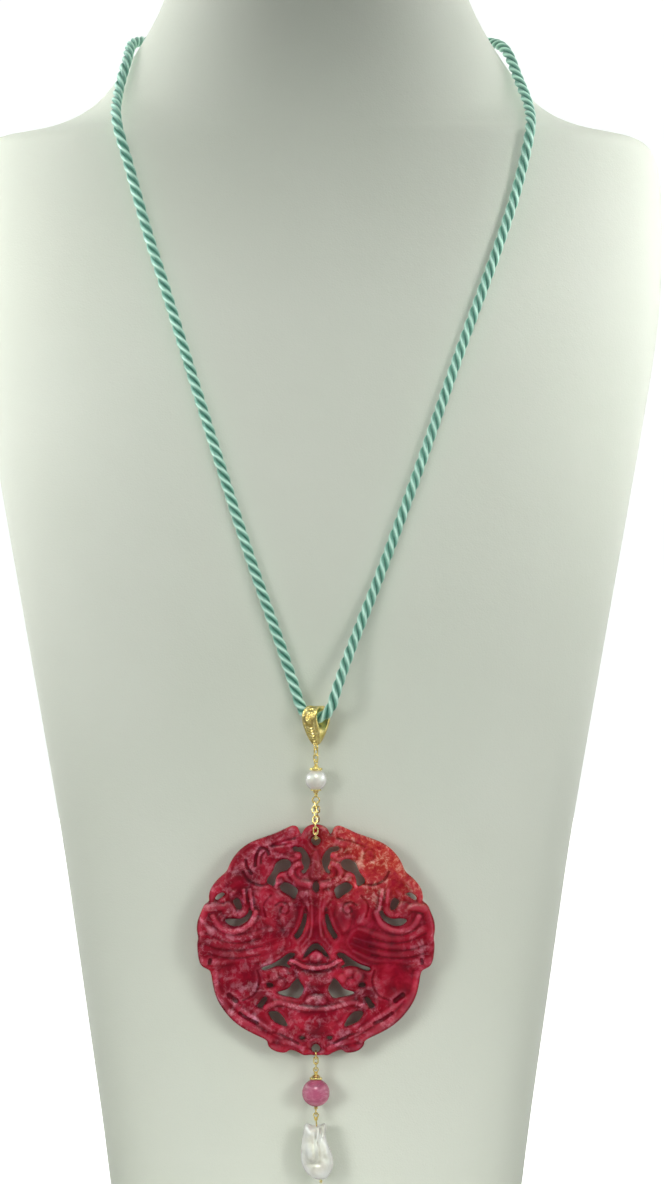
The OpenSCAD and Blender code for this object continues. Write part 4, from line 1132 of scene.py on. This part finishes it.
# %% The drop's rings
# Height, left edge, right edge, half depth, and how far the ring's sides are lifted.
DROP_RINGS = [
    (16.3, 0.4, 2.2, 0.8, 0), (16.7, -0.7, 3, 1.8, 0), (17.7, -2.4, 3.9, 3, 0),
    (19.6, -3.7, 4.8, 4, 0), (21.5, -4.3, 5.1, 4.2, 0), (24.3, -4.35, 4.3, 3.8, 0),
    (26.8, -4, 3.1, 3.2, 0), (28.6, -3.7, 2.7, 2.9, 0.2), (30.2, -3.5, 2.9, 2.6, 0.5),
    (31.2, -3.1, 2.8, 2, 0.85), (31.5, -2.2, 2.1, 1.3, 0.7), (30.8, -0.7, 0.9, 0.6, 0)]
DROP_SIDES = 24
bpy.ops.mesh.primitive_circle_add(vertices=DROP_SIDES, radius=MM)
drop_body = bpy.context.object
edit(drop_body, *[(bpy.ops.mesh.extrude_region_move, {})] * (len(DROP_RINGS) - 1))
turns = np.arange(DROP_SIDES) * 2 * np.pi / DROP_SIDES
for row, (level, left, right, half_depth, lifted) in enumerate(DROP_RINGS):
    for k, t in enumerate(turns):
        drop_body.data.vertices[row * DROP_SIDES + k].co = (
            ((left + right) / 2 + (right - left) / 2 * math.cos(t)) * MM,
            PENDANT_Y + half_depth * math.sin(t) * MM,
            (level + lifted * math.cos(t) ** 2) * MM)
for row in (0, len(DROP_RINGS) - 1):
    only(drop_body)
    for vertex in drop_body.data.vertices:
        vertex.select = vertex.index // DROP_SIDES == row
    bpy.ops.object.mode_set(mode="EDIT")
    bpy.ops.mesh.edge_face_add()
    bpy.ops.mesh.poke()
    bpy.ops.mesh.select_all(action="DESELECT")
    bpy.ops.object.mode_set(mode="OBJECT")
edit(drop_body, OUTWARDS)
modify(drop_body, "SUBSURF", levels=2, render_levels=2)
print("drop rings:", len(DROP_RINGS), "faces:", len(drop_body.data.polygons))

# %% [markdown]
# Each fold is a soft push or pull on the front, and less on the back, strongest at its middle
# and fading like a bell curve: across, height, reach across, reach in height, and depth.

# %% The drop's folds
FOLDS = [
    (0.0, 28.4, 0.35, 2.0, -1.2), (0.6, 28.6, 0.35, 2.4, 0.8), (-1.6, 29.9, 0.9, 1.3, 0.8),
    (2.3, 29.8, 0.5, 1.8, 0.8), (1.35, 29.4, 0.3, 1.6, -1.0), (-0.8, 23.8, 1.3, 1.7, 1.1),
    (0.7, 24.8, 0.4, 2.2, -0.9), (-0.3, 21.2, 1.9, 0.45, -1.2), (2.2, 22.6, 0.9, 0.8, -0.8),
    (3.0, 24.8, 0.7, 1.6, 0.5), (2.1, 21.2, 0.6, 0.6, 0.35), (-3.0, 24.8, 0.6, 2.4, -0.35),
    (0.2, 18.6, 2.6, 1.3, 0.35)]
FULL_DEPTH, BACK_SHARE = 2, 0.3
drop_points = points_of(drop_body)
out = drop_points[:, 1] - DROP_Y
push = np.zeros(len(out))
for mid, level, wide, tall, amount in FOLDS:
    push += amount * np.exp(-((drop_points[:, 0] - mid) / wide) ** 2
                            - ((drop_points[:, 2] - level) / tall) ** 2)
drop_points[:, 1] += push * np.clip(out / FULL_DEPTH, -1, BACK_SHARE)
move_points(drop_body, drop_points)
settle(drop_body, "pearl_drop")
bpy.ops.object.shade_smooth()
finished(drop_body, nacre, "drop_pearl")

# %% [markdown]
# ## Chains
# Every link is a closed oval of round wire: a torus whose upper and lower halves are pulled
# apart. Each hangs a quarter turn round from the one before it.

# %% Links
LINK_WIRE = 0.2
LINK_SIDES = 28
# Half the length and half the width of each kind of link, to the middle of the wire.
UPPER_LINK, SHORT_LINK, LOW_LINK = (1.06, 0.6), (1.1, 0.7), (1.01, 0.6)
HOLE_LINK, LOWER_RING = (3.42, 0.6), (2.15, 1.15)
HOLE_LINK_Z, HOLE_LINK_WIRE, LOWER_RING_Z = 111.96, 0.19, 51.25
# The two short chains: the first link's height, and how far down the next one hangs.
SHORT_TOP, SHORT_STEP = 136.08, 1.7
LOW_TOP, LOW_STEP = 49.62, 1.52
# The front leg of the upper chain, link by link: how far aside and how far out it lies, its
# height, its tilt and its turn. The back leg lies opposite.
UPPER_CHAIN = [
    (0.36, 0.22, 121.25, 28, 0), (0.42, 0.95, 119.87, 28, 90), (0.35, 1.68, 118.5, 28, 0),
    (0.25, 2.4, 117.1, 25, 90), (0.16, 3.01, 115.65, 16, 0), (0.07, 3.32, 114.1, 7, 90),
    (0, 3.42, 112.53, 0, 0)]


def link(name, node, size, middle_at, turns, wire=LINK_WIRE):
    """An oval link that stands in the XZ plane, then is turned and set in its place."""
    half_l, half_w = size
    made = wire_ring((0, 0, 0), (math.pi / 2, 0, 0), half_w, wire, LINK_SIDES)
    bpy.ops.object.transform_apply(location=False, rotation=True, scale=False)
    # Half a step round puts no point on the line where the halves part.
    made.data.transform(Matrix.Rotation(math.pi / LINK_SIDES, 4, "Y"))
    for vertex in made.data.vertices:
        vertex.co.z += math.copysign((half_l - half_w) * MM, vertex.co.z)
    made.data.transform(turns)
    made.location = Vector(middle_at) * MM
    settle(made, name)
    bpy.ops.object.shade_smooth()
    finished(made, gold, node)


def hung(tilt, turn):
    """A link's turn on its own axis and then its tilt out of plumb, in degrees."""
    return (Matrix.Rotation(math.radians(-tilt), 4, "X")
            @ Matrix.Rotation(math.radians(90 - turn), 4, "Z"))


for k, (aside, out, level, tilt, turn) in enumerate(UPPER_CHAIN, 1):
    link(f"chain_front_{k}", f"front_link_{k}", UPPER_LINK, (-aside, DROP_Y - out, level),
         hung(tilt, turn))
    link(f"chain_back_{k}", f"back_link_{k}", UPPER_LINK, (aside, DROP_Y + out, level),
         hung(-tilt, turn))
link("chain_through", "hole_link", HOLE_LINK, (0, DROP_Y, HOLE_LINK_Z),
     Matrix.Rotation(math.pi / 2, 4, "X"), HOLE_LINK_WIRE)
link("hole_ring", "lower_ring", LOWER_RING, (0, DROP_Y, LOWER_RING_Z),
     Matrix.Rotation(math.pi / 2, 4, "X") @ Matrix.Rotation(math.pi / 2, 4, "Z"), RING_WIRE)
for k in range(2):
    link(f"short_chain_{k + 1}", f"short_link_{k + 1}", SHORT_LINK,
         (0, DROP_Y, SHORT_TOP - SHORT_STEP * k), hung(0, BAIL_TURN + 90 * k))
    link(f"low_chain_{k + 1}", f"low_link_{k + 1}", LOW_LINK,
         (0, DROP_Y, LOW_TOP - LOW_STEP * k), hung(0, 90 - 90 * k))

# %% [markdown]
# A pin is a soft wire through a bead with a loop bent at each end. What is left of the wire is
# wound once or twice round its own neck next to the bead or its cap, and each turn is a ring.

# %% Pins
PIN_R = 0.2
WOUND_R, WOUND_WIRE, WOUND_TILT = 0.38, 0.18, 0.12


def pin(name, node, loops, stem, wound, ball=None):
    """A pin: its loops (height, radius, turn in degrees), its stem from one (across, height) to
    another, the heights of its wound turns, and a ball (across, height, radius)."""
    (x0, z0), (x1, z1) = stem
    bpy.ops.mesh.primitive_cylinder_add(
        vertices=16, radius=PIN_R * MM, depth=math.hypot(x1 - x0, z1 - z0) * MM,
        location=((x0 + x1) / 2 * MM, PENDANT_Y, (z0 + z1) / 2 * MM),
        rotation=(0, math.atan2(x1 - x0, z1 - z0), 0))
    parts = [bpy.context.object]
    for level, radius, turn in loops:
        parts.append(wire_ring((0, DROP_Y, level), (math.pi / 2, 0, math.radians(turn)),
                               radius, PIN_R))
    for level in wound:
        parts.append(wire_ring((0, DROP_Y, level), (WOUND_TILT, 0, 0), WOUND_R, WOUND_WIRE,
                               24, 10))
    if ball:
        across, level, radius = ball
        bpy.ops.mesh.primitive_uv_sphere_add(
            segments=24, ring_count=12, radius=radius * MM,
            location=(across * MM, PENDANT_Y, level * MM))
        parts.append(bpy.context.object)
    finished(joined(parts, name), gold, node)


pin("pearl_wire", "pearl_pin", [(133.18, 0.65, 52), (122.5, 0.95, 0)],
    [(0, 123.45), (0, 132.53)], [132.2, 124.2, 123.85])
pin("bead_wire", "bead_pin", [(46.99, 0.65, 0), (35.2, 0.75, 90)],
    [(0, 35.95), (0, 46.34)], [46.15, 45.83, 36.5, 36.2])
pin("drop_wire", "drop_pin", [(34.3, 0.65, 0)], [(0, 33.65), (1.4, 15.8)], [33.4, 33.05],
    ball=(1.4, 15.8, 0.45))

# %% [markdown]
# ## The clasp
# The loop is closed at the nape by a screw clasp, a small gold barrel of two halves with the
# cord's ends glued in. It lies on its side, so it is turned upright and then laid down.

# %% Clasp
half_barrel = [(0, 6.5), (1.6, 6.5), (1.75, 6.4), (2.1, 6.2), (2.3, 5.8), (2.3, 4.7),
               (2.1, 4.5), (2.1, 4.2), (2.3, 4.0), (2.3, 0.35), (2.15, 0.15)]
other_half = [(out, -high) for out, high in half_barrel[::-1]]
clasp = turned("screw_clasp", half_barrel + other_half, (0, *CLASP_END[1:]), lying=True)
finished(clasp, gold, "cord_clasp", body="display")
